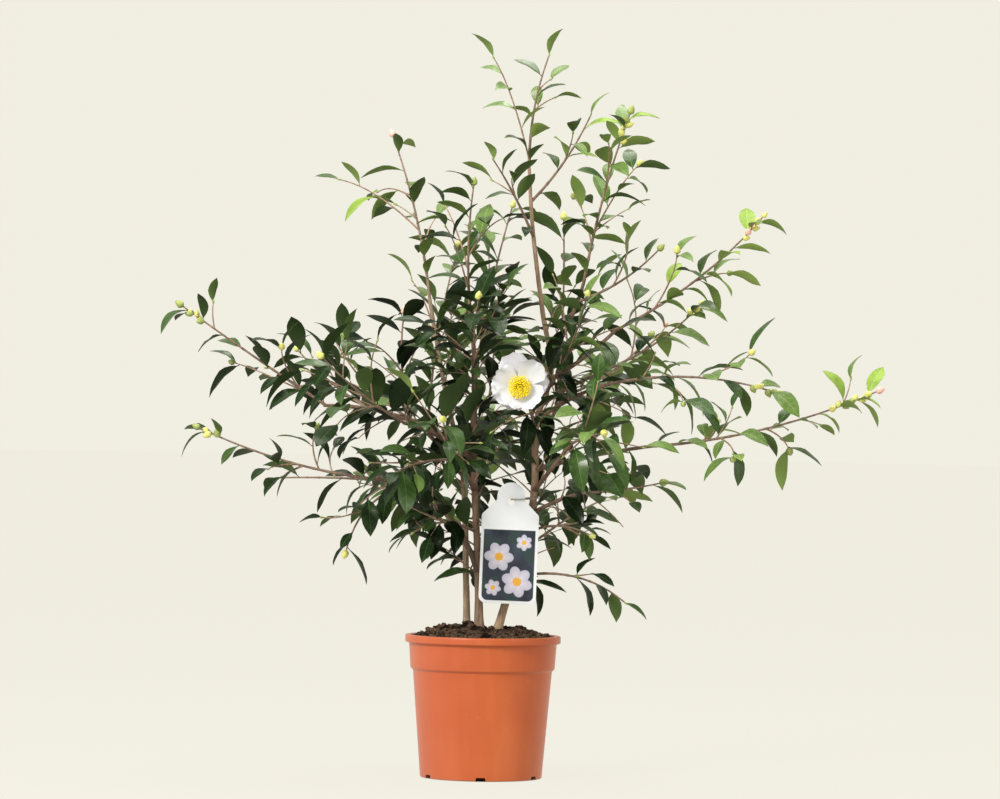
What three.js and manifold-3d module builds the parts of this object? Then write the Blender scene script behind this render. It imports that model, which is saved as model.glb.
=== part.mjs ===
// A young camellia shrub in its nursery pot. Three stems rise from the compost and carry
// boughs, and each bough or stem carries leafy shoots. One shoot bears the open bloom, and
// a plastic tag hangs by a loop from the right-hand stem.
// Millimetres, +Z up. The origin is under the middle of the pot, and -Y is the front.

import * as THREE from 'three';
import Module from 'manifold-3d';
import { mergeVertices } from 'three/addons/utils/BufferGeometryUtils.js';

const wasm = await Module();
wasm.setup();

// ---------------------------------------------------------------- driving dimensions

const GAP = 0.3; // clearance between neighbouring pieces

const POT = {
  height: 174,
  wall: 2,
  floor: 3,
  footRadius: 74.5,
  bodyRadius: 85, // at the top of the plain body, under the collar
  bodyHeight: 131,
  collarLowRadius: 88.2,
  collarHighRadius: 90.2,
  collarFoot: 134,
  lipRadius: 95,
  lipFoot: 165,
  lipSlope: 1, // how far the lip's underside runs up towards its edge
  sides: 28, // of the pot and of the compost in it
  drains: 6,
  drainWidth: 13,
  drainDepth: 14,
  drainHeight: 4.5,
};

const SOIL = {
  middle: 178, // height of the compost round the stems
  edge: 169, // height of the compost at the wall
  rimDrop: 2, // how much lower still it lies against the wall
  shares: [0.9, 0.66, 0.42], // of the radius: rings of the surface, level inside the last
  fall: 1.6, // how the surface steepens towards the wall
  lump: 1.6,
  seed: 5,
};

const TAG = {
  width: 70,
  height: 111, // from the foot to the shoulders
  headRadius: 17,
  headRise: 37, // from the shoulders to the top of the head
  neckRise: 16, // from the shoulders to the foot of the neck
  cornerRadius: 9,
  holeRadius: 4.25,
  holeDrop: 24, // from the top of the head to the middle of the hole
  thickness: 0.8,
  middle: [28.5, -30, 214], // middle of the foot
  lean: THREE.MathUtils.degToRad(1.4),
};

const TIE = {
  radius: 0.8,
  sides: 5,
  height: 343,
  lean: 1.07, // widens the ring for the slanting stem
  turns: 7,
  slack: 2.5, // how far the ring bulges past the edge of the tag's head
  sag: 0.6,
};

const BLOOM = {
  middle: [39, -112, 485],
  facing: [0.03, -0.96, -0.2],
  petals: 8,
  radius: 35.5,
  lobe: [[0, 0.72], [0.25, 0.96], [0.5, 1], [0.75, 0.96]], // [share of a petal, reach]
  cup: 0.2, // how far the petals lean forward, as a share of the radius
  depth: 5, // from the middle of the dish to the back of the bloom
  bossRadius: 9,
  bossRise: 4,
  lowPetal: 0.35, // how far every other petal leans forward, to the rest
};

const TWIG = {
  sides: 3,
  rootRadius: 1.8,
  tipRadius: 1.2,
  rootPoint: 2.4, // length over which a side twig's sunken root draws to a point
  shootRoot: 1.3, // how thick a shoot, a fork and a twig start, as shares of rootRadius
  forkRoot: 0.85,
  twigRoot: 0.75,
  shootStep: 60, // length of one straight stretch of a shoot, and of a fork
  forkStep: 70,
  firstShare: 0.14, // share of a shoot below its twigs
  share: 0.78, // share of a shoot along which they stand
  vary: 0.5, // how far lengths and places vary
  taper: 0.4, // how much shorter the last twig is than the first
  spread: THREE.MathUtils.degToRad(52), // angle between a twig and what it grows on
  lift: 0.22, // how far a twig turns up towards the light
  forkBow: 0.1, // how far a fork first runs on with its shoot, as a share of its length
  sway: THREE.MathUtils.degToRad(14), // how far it turns off the middle of a face
};

const LEAF = {
  outline: [[0.34, 0.92], [0.68, 0.8]], // points of an edge: share of length, of half width
  spread: THREE.MathUtils.degToRad(50),
  tipSpread: 0.15,
  tipShare: 0.9, // length of a path's last blade, to the others
  bareRoot: 0.12, // share of a fork or twig with no leaves
  tipSunk: 2.5, // how far the last blade of a path is sunk into its end
  attempts: 3,
  droop: 0.16,
  widthShare: 0.47,
  archShare: 0.055, // rise of the blade above the line from its root to its tip
  roll: 0.75, // most that a blade turns about its length, in radians
  rows: 7, // of points over a blade that are tested, from firstRow of its length on
  firstRow: 0.2,
  apart: 4.6, // least distance between such points of two blades
  fromTwig: 0.045, // least distance from a twig to a blade past its root, by length
};

const BUD = { length: 12, radius: 4.6, sunk: 2.5 };
const SPACE = 1.5; // what twigs and leaves keep from the edge of their own space
const LIMB_CLEAR = 1.2; // what twigs and leaves keep from stems and boughs
const LOWEST_LEAF = 186; // height that twigs and leaves stay above

// Stems: way points from the flat cut at the compost to the tip.
const FOOT = SOIL.middle + GAP;
const STEMS = [
  {
    name: 'stem_left', radius: 4.2, tipRadius: 2.3, flare: 1.35, steps: 8,
    way: [[-20, 6, FOOT], [-22, 8, 240], [-29, 16, 378], [-49, 26, 461], [-73, 42, 586]],
  },
  {
    name: 'stem_middle', radius: 5.4, tipRadius: 2.2, flare: 1.4, steps: 8,
    way: [[-5, -4, FOOT], [-7, -5, 248], [-16, -6, 413], [-15, -14, 493], [-23, -32, 580]],
  },
  {
    name: 'stem_right', radius: 4.9, tipRadius: 1.9, flare: 1.35, steps: 12,
    way: [
      [17, -2, FOOT], [58, 0, 334], [62, 0, 439], [78, 5, 499], [66, 6, 574], [52, 3, 680],
      [47, 2, 751],
    ],
  },
];

// Boughs: each leaves a stem at a height and ends where it enters its shoots. bow is how far
// its middle lies off the straight line from its root to its tip.
const BOUGHS = [
  {
    name: 'bough_left_low', on: 'stem_middle', height: 252, radius: 3.9,
    tip: [-142, -22, 364], bow: [14, 2, 26],
  },
  {
    name: 'bough_left_high', on: 'stem_left', height: 408, radius: 3.2,
    tip: [-200, -4, 452], bow: [0, 3, 13],
  },
  {
    name: 'bough_left_front', on: 'stem_middle', height: 388, radius: 3.2,
    tip: [-100, -78, 432], bow: [-3, -8, 8],
  },
  {
    name: 'bough_right_long', on: 'stem_right', height: 378, radius: 3.1,
    tip: [205, 0, 409], bow: [0, 2, 3],
  },
  {
    name: 'bough_right_upper', on: 'stem_right', height: 488, radius: 2.9,
    tip: [158, -10, 552], bow: [2, 0, -3],
  },
  {
    name: 'bough_right_middle', on: 'stem_right', height: 438, radius: 2.9,
    tip: [150, -52, 484], bow: [0, -6, 6],
  },
  {
    name: 'bough_right_upright', on: 'stem_right', height: 517, radius: 2.8,
    tip: [117, -16, 612], bow: [3, 2, -4],
  },
  {
    name: 'bough_right_low', on: 'stem_right', height: 322, radius: 2.8,
    tip: [122, -24, 351], bow: [0, -2, 4],
  },
  {
    name: 'bough_right_back', on: 'stem_right', height: 458, radius: 2.8,
    tip: [138, 62, 498], bow: [0, 8, 2],
  },
  {
    name: 'bough_back_left', on: 'stem_left', height: 372, radius: 3.2,
    tip: [-96, 104, 438], bow: [-4, 4, 8],
  },
  {
    name: 'bough_back_middle', on: 'stem_middle', height: 318, radius: 3.4,
    tip: [-2, 108, 388], bow: [0, 4, 12],
  },
  {
    name: 'bough_back_right', on: 'stem_right', height: 404, radius: 3,
    tip: [96, 118, 470], bow: [3, 6, 6],
  },
  {
    name: 'bough_front_right', on: 'stem_right', height: 352, radius: 2.9,
    tip: [104, -98, 412], bow: [3, -6, 4],
  },
  {
    name: 'bough_front_middle', on: 'stem_middle', height: 352, radius: 2.9,
    tip: [-42, -98, 398], bow: [-2, -8, 6],
  },
];
const BOUGH_TIP = 2.1;
const STEM_SIDES = 7;
const BOUGH_SIDES = 5;
const BOUGH_STEPS = 3;

// Shoots: each is one mass of foliage, on a bough at a share of its length, or on a stem at
// a height. forks are [share of the shoot, tip] of the side shoots that shape the crown;
// twigs, twig, leaf and step are how many twigs it has, how long they and the leaves are,
// and how far apart the leaves stand. bare is the share of the shoot with no leaves.
const SHOOTS = [
  {
    name: 'shoot_upright_left', on: 'stem_left', height: 584, tip: [-122, 82, 788], bow: [6, 0, 2],
    forks: [[0.42, [-186, 52, 732]], [0.3, [-66, 92, 690]], [0.62, [-140, 124, 722]]],
    twigs: 1, twig: 46, leaf: 47, step: 30, bare: 0.04, buds: 1, seed: 11,
  },
  {
    name: 'shoot_upright_middle', on: 'stem_middle', height: 578, tip: [-20, -70, 722], bow: [-4, 0, 0],
    forks: [[0.1, [-52, -112, 668]], [0.3, [-56, -20, 700]], [0.4, [14, -96, 680]]],
    twigs: 2, twig: 50, leaf: 52, step: 28, bare: 0.02, buds: 1, seed: 23,
  },
  {
    name: 'shoot_inner', on: 'stem_middle', height: 478, tip: [27, 30, 700], bow: [-6, 4, -4],
    forks: [[0.45, [-2, 74, 650]], [0.3, [40, -14, 628]]],
    twigs: 2, twig: 54, leaf: 58, step: 28, bare: 0.12, buds: 1, seed: 31,
  },
  {
    name: 'shoot_top', on: 'stem_right', height: 749, tip: [69, 12, 886], bow: [-6, 0, 2],
    forks: [[0.06, [2, -40, 878]], [0.5, [98, 50, 840]]],
    twigs: 1, twig: 34, leaf: 41, step: 31, bare: 0.05, buds: 0, seed: 41,
  },
  {
    name: 'shoot_top_right', on: 'stem_right', height: 706, tip: [122, 58, 816], bow: [4, 0, -4],
    forks: [[0.5, [100, 4, 790]]],
    twigs: 1, twig: 34, leaf: 45, step: 28, bare: 0.1, buds: 0, seed: 43,
  },
  {
    name: 'shoot_top_left', on: 'stem_right', height: 662, tip: [4, -62, 752], bow: [2, 0, 2],
    forks: [[0.5, [26, -64, 730]]],
    twigs: 1, twig: 34, leaf: 45, step: 28, bare: 0.1, buds: 0, seed: 47,
  },
  {
    name: 'shoot_right_upright', on: 'bough_right_upright', at: 0.97, tip: [168, -58, 812], bow: [-4, 0, 2],
    forks: [[0.3, [180, -10, 752]], [0.22, [104, 8, 712]], [0.55, [142, -104, 772]]],
    twigs: 2, twig: 46, leaf: 46, step: 29, bare: 0.05, buds: 3, seed: 53,
  },
  {
    name: 'shoot_right_shoulder', on: 'bough_right_upright', at: 0.74, tip: [206, -34, 648], bow: [4, 0, -6],
    forks: [[0.4, [166, -84, 664]]],
    twigs: 1, twig: 38, leaf: 45, step: 28, bare: 0.1, buds: 1, seed: 59,
  },
  {
    name: 'shoot_right_upper', on: 'bough_right_upper', at: 0.97, tip: [332, -46, 690], bow: [8, 0, -8],
    forks: [[0.5, [292, -12, 622]], [0.24, [228, -54, 644]]],
    twigs: 1, twig: 40, leaf: 47, step: 33, bare: 0.08, buds: 3, seed: 61,
  },
  {
    name: 'shoot_right_back', on: 'bough_right_back', at: 0.97, tip: [262, 74, 584], bow: [6, 4, -6],
    forks: [[0.4, [222, 130, 560]], [0.3, [172, 60, 612]]],
    twigs: 2, twig: 48, leaf: 52, step: 33, bare: 0.05, buds: 2, seed: 67,
  },
  {
    name: 'shoot_right_middle', on: 'bough_right_middle', at: 0.97, tip: [352, -64, 476], bow: [0, -10, 14],
    forks: [[0.55, [316, -104, 522]], [0.3, [236, -120, 462]], [0.2, [206, -40, 546]]],
    twigs: 2, twig: 46, leaf: 51, step: 32, bare: 0.05, buds: 3, seed: 71,
  },
  {
    name: 'shoot_right_long', on: 'bough_right_long', at: 0.98, tip: [476, -20, 480], bow: [2, 2, -12],
    forks: [[0.22, [286, 46, 440]], [0.3, [300, -58, 396]], [0.5, [372, 20, 408]]],
    twigs: 4, twig: 40, leaf: 45, step: 33, bare: 0.02, buds: 4, seed: 73,
  },
  {
    name: 'shoot_right_low', on: 'bough_right_low', at: 0.97, tip: [212, -44, 364], bow: [0, -3, -2],
    forks: [[0.35, [188, 4, 396]], [0.3, [176, -84, 340]]],
    twigs: 1, twig: 42, leaf: 52, step: 30, bare: 0.02, buds: 1, seed: 79,
  },
  {
    name: 'shoot_right_low_front', on: 'stem_right', height: 300, tip: [128, -62, 300], bow: [0, -4, 10],
    forks: [[0.5, [122, -22, 316]]],
    twigs: 1, twig: 34, leaf: 45, step: 29, bare: 0.3, buds: 1, seed: 83,
  },
  {
    name: 'shoot_right_hanging', on: 'stem_right', height: 246, tip: [172, -28, 218], bow: [6, 0, 16],
    forks: [[0.5, [148, -4, 256]]],
    twigs: 1, twig: 34, leaf: 47, step: 30, bare: 0.42, buds: 0, seed: 89,
  },
  {
    name: 'shoot_left_upper', on: 'bough_left_high', at: 0.98, tip: [-372, -40, 570], bow: [4, 0, -4],
    forks: [[0.12, [-312, 22, 503]], [0.2, [-250, -58, 520]]],
    twigs: 2, twig: 42, leaf: 47, step: 36, bare: 0.02, buds: 3, seed: 97,
  },
  {
    name: 'shoot_left_upper_back', on: 'bough_left_high', at: 0.66, tip: [-236, 82, 520], bow: [0, 6, -6],
    forks: [[0.4, [-176, 96, 536]], [0.5, [-246, 116, 470]]],
    twigs: 2, twig: 46, leaf: 49, step: 33, bare: 0.05, buds: 1, seed: 101,
  },
  {
    name: 'shoot_left_inner', on: 'bough_left_high', at: 0.36, tip: [-104, 18, 566], bow: [-6, 2, 0],
    forks: [[0.45, [-146, -26, 530]], [0.35, [-78, 62, 540]]],
    twigs: 2, twig: 44, leaf: 54, step: 32, bare: 0.1, buds: 1, seed: 103,
  },
  {
    name: 'shoot_left_rosette', on: 'bough_left_front', at: 0.97, tip: [-196, -168, 508], bow: [0, -8, -6],
    forks: [[0.45, [-240, -108, 500]], [0.4, [-132, -156, 528]], [0.35, [-176, -176, 430]]],
    twigs: 3, twig: 50, leaf: 60, step: 30, bare: 0.02, buds: 1, seed: 107,
  },
  {
    name: 'shoot_left_low', on: 'bough_left_low', at: 0.98, tip: [-348, -58, 422], bow: [2, 0, -10],
    forks: [[0.3, [-206, -66, 424]], [0.42, [-262, -84, 374]]],
    twigs: 1, twig: 40, leaf: 47, step: 34, bare: 0.04, buds: 2, seed: 109,
  },
  {
    name: 'shoot_left_low_back', on: 'bough_left_low', at: 0.86, tip: [-256, 40, 362], bow: [0, 6, 2],
    forks: [[0.5, [-190, 66, 398]]],
    twigs: 1, twig: 42, leaf: 47, step: 32, bare: 0.08, buds: 0, seed: 113,
  },
  {
    name: 'shoot_left_hanging', on: 'bough_left_low', at: 0.74, tip: [-168, -48, 276], bow: [-10, -2, 14],
    forks: [[0.5, [-196, -62, 316]]],
    twigs: 1, twig: 34, leaf: 45, step: 29, bare: 0.18, buds: 1, seed: 127,
  },
  {
    name: 'shoot_left_front_low', on: 'stem_middle', height: 300, tip: [-86, -84, 300], bow: [-4, -6, 12],
    forks: [[0.5, [-104, -52, 338]], [0.5, [-62, -92, 336]]],
    twigs: 1, twig: 36, leaf: 52, step: 30, bare: 0.16, buds: 0, seed: 131,
  },
  {
    name: 'shoot_back_left', on: 'bough_back_left', at: 0.97, tip: [-196, 250, 536], bow: [-6, 6, -8],
    forks: [[0.4, [-222, 176, 496]], [0.45, [-108, 246, 500]]],
    twigs: 2, twig: 50, leaf: 54, step: 35, bare: 0.04, buds: 1, seed: 137,
  },
  {
    name: 'shoot_back_left_high', on: 'bough_back_left', at: 0.6, tip: [-40, 166, 656], bow: [-8, 10, -4],
    forks: [[0.4, [-18, 142, 584]], [0.5, [-96, 150, 610]]],
    twigs: 1, twig: 48, leaf: 56, step: 34, bare: 0.08, buds: 1, seed: 139,
  },
  {
    name: 'shoot_back_left_low', on: 'stem_left', height: 300, tip: [-116, 196, 352], bow: [-4, 4, 10],
    forks: [[0.5, [-156, 124, 356]], [0.6, [-52, 178, 318]]],
    twigs: 1, twig: 44, leaf: 54, step: 33, bare: 0.14, buds: 0, seed: 149,
  },
  {
    name: 'shoot_back_middle', on: 'bough_back_middle', at: 0.97, tip: [4, 330, 448], bow: [0, 4, -6],
    forks: [[0.4, [-72, 262, 432]], [0.45, [72, 262, 410]]],
    twigs: 2, twig: 48, leaf: 54, step: 35, bare: 0.04, buds: 2, seed: 151,
  },
  {
    name: 'shoot_back_middle_high', on: 'bough_back_middle', at: 0.72, tip: [14, 190, 616], bow: [0, 14, -6],
    forks: [[0.45, [44, 232, 548]], [0.55, [-22, 226, 560]]],
    twigs: 1, twig: 48, leaf: 56, step: 34, bare: 0.1, buds: 1, seed: 157,
  },
  {
    name: 'shoot_back_right', on: 'bough_back_right', at: 0.97, tip: [206, 244, 548], bow: [4, 4, -8],
    forks: [[0.4, [118, 250, 510]], [0.4, [210, 178, 488]]],
    twigs: 2, twig: 50, leaf: 54, step: 35, bare: 0.04, buds: 1, seed: 163,
  },
  {
    name: 'shoot_back_right_high', on: 'bough_back_right', at: 0.62, tip: [92, 122, 690], bow: [4, 10, -4],
    forks: [[0.45, [134, 116, 618]], [0.5, [62, 160, 618]]],
    twigs: 1, twig: 46, leaf: 54, step: 34, bare: 0.1, buds: 1, seed: 167,
  },
  {
    name: 'shoot_back_right_low', on: 'stem_right', height: 276, tip: [150, 176, 340], bow: [4, 2, 8],
    forks: [[0.5, [176, 104, 356]], [0.55, [78, 176, 330]]],
    twigs: 1, twig: 44, leaf: 54, step: 33, bare: 0.16, buds: 0, seed: 173,
  },
  {
    name: 'shoot_front_left', on: 'bough_front_middle', at: 0.7, tip: [-104, -214, 374], bow: [-6, -4, 4],
    forks: [[0.5, [-136, -146, 384]]],
    twigs: 1, twig: 42, leaf: 56, step: 31, bare: 0.08, buds: 0, seed: 179,
  },
  {
    name: 'shoot_front_middle', on: 'bough_front_middle', at: 0.97, tip: [-50, -262, 436], bow: [0, -4, -6],
    forks: [[0.4, [-8, -212, 410]], [0.4, [-86, -200, 468]]],
    twigs: 2, twig: 44, leaf: 56, step: 31, bare: 0.04, buds: 1, seed: 181,
  },
  {
    name: 'shoot_front_high', on: 'stem_middle', height: 452, tip: [-12, -128, 582], bow: [-4, -12, -2],
    forks: [[0.5, [-70, -104, 550]], [0.45, [22, -84, 596]]],
    twigs: 2, twig: 44, leaf: 56, step: 29, bare: 0.1, buds: 1, seed: 191,
  },
  {
    name: 'shoot_front_right', on: 'bough_front_right', at: 0.97, tip: [138, -246, 424], bow: [0, -4, 2],
    forks: [[0.4, [186, -180, 408]], [0.4, [92, -214, 396]], [0.3, [132, -176, 484]]],
    twigs: 2, twig: 46, leaf: 54, step: 31, bare: 0.04, buds: 1, seed: 193,
  },
  {
    name: 'shoot_front_right_high', on: 'stem_right', height: 470, tip: [118, -130, 588], bow: [4, -10, -6],
    forks: [[0.5, [78, -104, 612]], [0.5, [160, -98, 552]]],
    twigs: 1, twig: 42, leaf: 54, step: 29, bare: 0.14, buds: 1, seed: 197,
  },
  {
    name: 'shoot_bloom', on: 'stem_right', height: 420, tip: [38.5, -107, 486], bow: [4, -6, -6],
    forks: [[0.5, [8, -84, 424]], [0.5, [74, -88, 446]]],
    twigs: 1, twig: 30, leaf: 52, step: 29, bare: 0.2, buds: 1, bloom: true, seed: 199,
  },
  {
    name: 'shoot_inner_low', on: 'stem_middle', height: 236, tip: [8, 84, 322], bow: [4, 4, 4],
    forks: [[0.4, [-50, 54, 300]], [0.4, [52, 44, 290]], [0.6, [-34, 88, 348]]],
    twigs: 1, twig: 38, leaf: 58, step: 26, bare: 0.2, buds: 0, seed: 211,
  },
];

// Boxes that twigs and leaves leave free: the tag and the bloom, each with the view of it.
const CLEARINGS = [
  { low: [-14, -400, 208], high: [72, -22, 366] },
  { low: [0, -400, 446], high: [78, -96, 526] },
];

const LOOKS = {
  pot: { color: 0xcd6a3c, roughness: 0.45 },
  soil: { color: 0x2c231c, roughness: 1 },
  bark: { color: 0x8d7357, roughness: 0.8 },
  foliage: { color: 0x3d5c2c, roughness: 0.35 },
  tag: { color: 0xf1f0ec, roughness: 0.4 },
  tie: { color: 0xb9b6ac, roughness: 0.5 },
};

// ------------------------------------------------------------------------ helpers

// A run of numbers from 0 to 1 that is the same each time for the same seed.
function seeded(seed) {
  let state = seed * 7919;
  return () => {
    state = (Math.imul(state, 1664525) + 1013904223) >>> 0;
    return state / 4294967296;
  };
}

function vector(list) {
  return new THREE.Vector3(list[0], list[1], list[2]);
}

function meshGeometry(positions, triangles) {
  const geometry = new THREE.BufferGeometry();
  geometry.setAttribute('position', new THREE.Float32BufferAttribute(positions, 3));
  geometry.setIndex(triangles);
  return geometry;
}

function toSolid(geometry) {
  const bare = geometry.clone();
  bare.deleteAttribute('normal');
  bare.deleteAttribute('uv');
  const merged = mergeVertices(bare, 1e-4);
  return new wasm.Manifold(new wasm.Mesh({
    numProp: 3,
    vertProperties: new Float32Array(merged.attributes.position.array),
    triVerts: new Uint32Array(merged.index.array),
  }));
}

function toGeometry(solid) {
  const mesh = solid.getMesh();
  return meshGeometry(Array.from(mesh.vertProperties), Array.from(mesh.triVerts));
}

// The largest body of a fused solid: loose scraps and sealed hollows drop out.
function largestBody(solid) {
  const bodies = solid.decompose();
  return bodies.reduce((best, body) => (body.volume() > best.volume() ? body : best));
}

function named(name, geometry, look) {
  geometry.computeVertexNormals();
  const material = new THREE.MeshStandardMaterial({ ...look, metalness: 0 });
  const mesh = new THREE.Mesh(geometry, material);
  mesh.name = name;
  return mesh;
}

// Two directions square to an axis. The first lies level.
function across(axis) {
  const upright = Math.abs(axis.z) > 0.97;
  const level = new THREE.Vector3(-axis.y, axis.x, 0);
  if (upright) {
    level.set(1, 0, 0).addScaledVector(axis, -axis.x);
  }
  level.normalize();
  return [level, new THREE.Vector3().crossVectors(axis, level)];
}

// A closed rod through points, with a radius at each: 0 draws it to a point. Rings are
// square to the path, and flatFoot lays the first one level.
function rodGeometry(points, radii, sides, flatFoot = false) {
  const positions = [];
  const triangles = [];
  const rings = [];
  const last = points.length - 1;
  let [side] = across(points[1].clone().sub(points[0]).normalize());
  points.forEach((point, index) => {
    const before = points[Math.max(index - 1, 0)];
    const after = points[Math.min(index + 1, last)];
    const axis = after.clone().sub(before).normalize();
    if (flatFoot && index === 0) {
      axis.set(0, 0, 1);
    }
    side = side.clone().addScaledVector(axis, -side.dot(axis)).normalize();
    const other = new THREE.Vector3().crossVectors(axis, side);
    const corners = radii[index] === 0 ? 1 : sides;
    const ring = [];
    for (let corner = 0; corner < corners; corner += 1) {
      const angle = (2 * Math.PI * corner) / corners;
      const place = point.clone()
        .addScaledVector(side, radii[index] * Math.cos(angle))
        .addScaledVector(other, radii[index] * Math.sin(angle));
      ring.push(positions.length / 3);
      positions.push(place.x, place.y, place.z);
    }
    rings.push(ring);
  });
  for (let index = 0; index < last; index += 1) {
    const low = rings[index];
    const high = rings[index + 1];
    for (let corner = 0; corner < sides; corner += 1) {
      const next = (corner + 1) % sides;
      if (low.length > 1) {
        triangles.push(low[corner], low[next], high[next % high.length]);
      }
      if (high.length > 1) {
        triangles.push(low[corner % low.length], high[next], high[corner]);
      }
    }
  }
  const [foot] = rings;
  const top = rings[last];
  for (let corner = 1; corner < foot.length - 1; corner += 1) {
    triangles.push(foot[0], foot[corner + 1], foot[corner]);
  }
  for (let corner = 1; corner < top.length - 1; corner += 1) {
    triangles.push(top[0], top[corner], top[corner + 1]);
  }
  return meshGeometry(positions, triangles);
}

// A curve from start to tip whose middle lies off the straight line by bow.
function bowed(start, tip, bow) {
  const control = start.clone().add(tip).multiplyScalar(0.5).addScaledVector(bow, 2);
  return new THREE.QuadraticBezierCurve3(start, control, tip);
}

function tapered(from, to, steps) {
  return Array.from({ length: steps + 1 }, (_, step) => from + ((to - from) * step) / steps);
}

function pathLength(path) {
  return path.slice(1).reduce((sum, point, index) => sum + point.distanceTo(path[index]), 0);
}

// The place at a share of a path's length, and the way the path runs there.
function alongPath(path, share) {
  let left = share * pathLength(path);
  let index = 1;
  while (index < path.length - 1 && left > path[index].distanceTo(path[index - 1])) {
    left -= path[index].distanceTo(path[index - 1]);
    index += 1;
  }
  const axis = path[index].clone().sub(path[index - 1]).normalize();
  return { place: path[index - 1].clone().addScaledVector(axis, left), axis };
}

// Least distance from a point to the stretches between path points.
function distanceToPath(point, path) {
  let least = Infinity;
  for (let index = 1; index < path.length; index += 1) {
    const from = path[index - 1];
    const to = path[index];
    const dx = to.x - from.x;
    const dy = to.y - from.y;
    const dz = to.z - from.z;
    const px = point.x - from.x;
    const py = point.y - from.y;
    const pz = point.z - from.z;
    const along = (px * dx + py * dy + pz * dz) / (dx * dx + dy * dy + dz * dz);
    const share = Math.min(1, Math.max(0, along));
    const distance = Math.hypot(px - share * dx, py - share * dy, pz - share * dz);
    least = Math.min(least, distance);
  }
  return least;
}

// -------------------------------------------------------------------- stems and boughs

// A limb keeps its curve, its path and its radii, its solid and a fatter copy of it, which
// cuts what grows on it clear.
function makeLimb(curve, radii, sides, flatFoot, name) {
  const points = curve.getPoints(radii.length - 1);
  const fatRadii = radii.map((radius) => radius + GAP * 1.15);
  const fatPoints = points.map((point) => point.clone());
  const end = fatPoints.length - 1;
  const along = fatPoints[end].clone().sub(fatPoints[end - 1]).normalize();
  fatPoints[end].addScaledVector(along, GAP);
  return {
    name,
    curve,
    points,
    radii,
    solid: toSolid(rodGeometry(points, radii, sides, flatFoot)),
    fat: toSolid(rodGeometry(fatPoints, fatRadii, sides, flatFoot)),
  };
}

function makeStem(stem) {
  const curve = new THREE.CatmullRomCurve3(stem.way.map(vector), false, 'centripetal');
  const radii = tapered(stem.radius, stem.tipRadius, stem.steps);
  radii[0] *= stem.flare;
  return makeLimb(curve, radii, STEM_SIDES, true, stem.name);
}

// The share of a stem's curve at which it reaches a height.
function shareAtHeight(curve, height) {
  let low = 0;
  let high = 1;
  for (let halving = 0; halving < 30; halving += 1) {
    const middle = (low + high) / 2;
    if (curve.getPoint(middle).z < height) {
      low = middle;
    } else {
      high = middle;
    }
  }
  return low;
}

function rootOn(limb, growth) {
  const share = growth.at ?? shareAtHeight(limb.curve, growth.height);
  return limb.curve.getPoint(share);
}

function makeBough(bough, stem) {
  const curve = bowed(rootOn(stem, bough), vector(bough.tip), vector(bough.bow));
  const radii = tapered(bough.radius, BOUGH_TIP, BOUGH_STEPS);
  const limb = makeLimb(curve, radii, BOUGH_SIDES, false, bough.name);
  limb.solid = largestBody(limb.solid.subtract(stem.fat));
  return limb;
}

// --------------------------------------------------------------------------- foliage

// Turns round a three-sided twig that point out through the middle of its faces.
function faceTurn(index, random) {
  return ((2 * index + 1) * Math.PI) / TWIG.sides + (random() - 0.5) * 2 * TWIG.sway;
}

// A heading that leans off an axis by an angle, at a turn round it.
function leaning(axis, angle, turn) {
  const [level, other] = across(axis);
  return axis.clone().multiplyScalar(Math.cos(angle))
    .addScaledVector(level, Math.sin(angle) * Math.cos(turn))
    .addScaledVector(other, Math.sin(angle) * Math.sin(turn));
}

// The path of a shoot and of its forks, which are also the middle of its space.
function shootPaths(shoot, limb) {
  const curve = bowed(rootOn(limb, shoot), vector(shoot.tip), vector(shoot.bow));
  const steps = Math.max(3, Math.round(curve.getLength() / TWIG.shootStep));
  const paths = [{ points: curve.getPoints(steps), root: TWIG.rootRadius * TWIG.shootRoot }];
  shoot.forks.forEach(([share, tip]) => {
    const { place: start, axis } = alongPath(paths[0].points, share);
    const end = vector(tip);
    const length = start.distanceTo(end);
    const fork = bowed(start, end, axis.multiplyScalar(TWIG.forkBow * length));
    const forkSteps = Math.max(1, Math.round(length / TWIG.forkStep));
    paths.push({ points: fork.getPoints(forkSteps), root: TWIG.rootRadius * TWIG.forkRoot });
  });
  return paths;
}

// A point lies free when it is nearer to its own shoot than to any other, clear of limbs
// and clearings, and above the pot.
function makeFreeTest(own, guides, limbs) {
  return (point) => {
    if (point.z < LOWEST_LEAF) {
      return false;
    }
    const inClearing = CLEARINGS.some(({ low, high }) => (
      point.x > low[0] && point.x < high[0]
      && point.y > low[1] && point.y < high[1]
      && point.z > low[2] && point.z < high[2]));
    if (inClearing) {
      return false;
    }
    const reach = Math.min(...guides[own].map((path) => distanceToPath(point, path)));
    const limit = reach + 2 * SPACE;
    const taken = guides.some((paths, index) => (
      index !== own && paths.some((path) => distanceToPath(point, path) < limit)));
    if (taken) {
      return false;
    }
    return limbs.every((limb) => (
      distanceToPath(point, limb.points) > limb.radii[1] + LIMB_CLEAR));
  };
}

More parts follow.
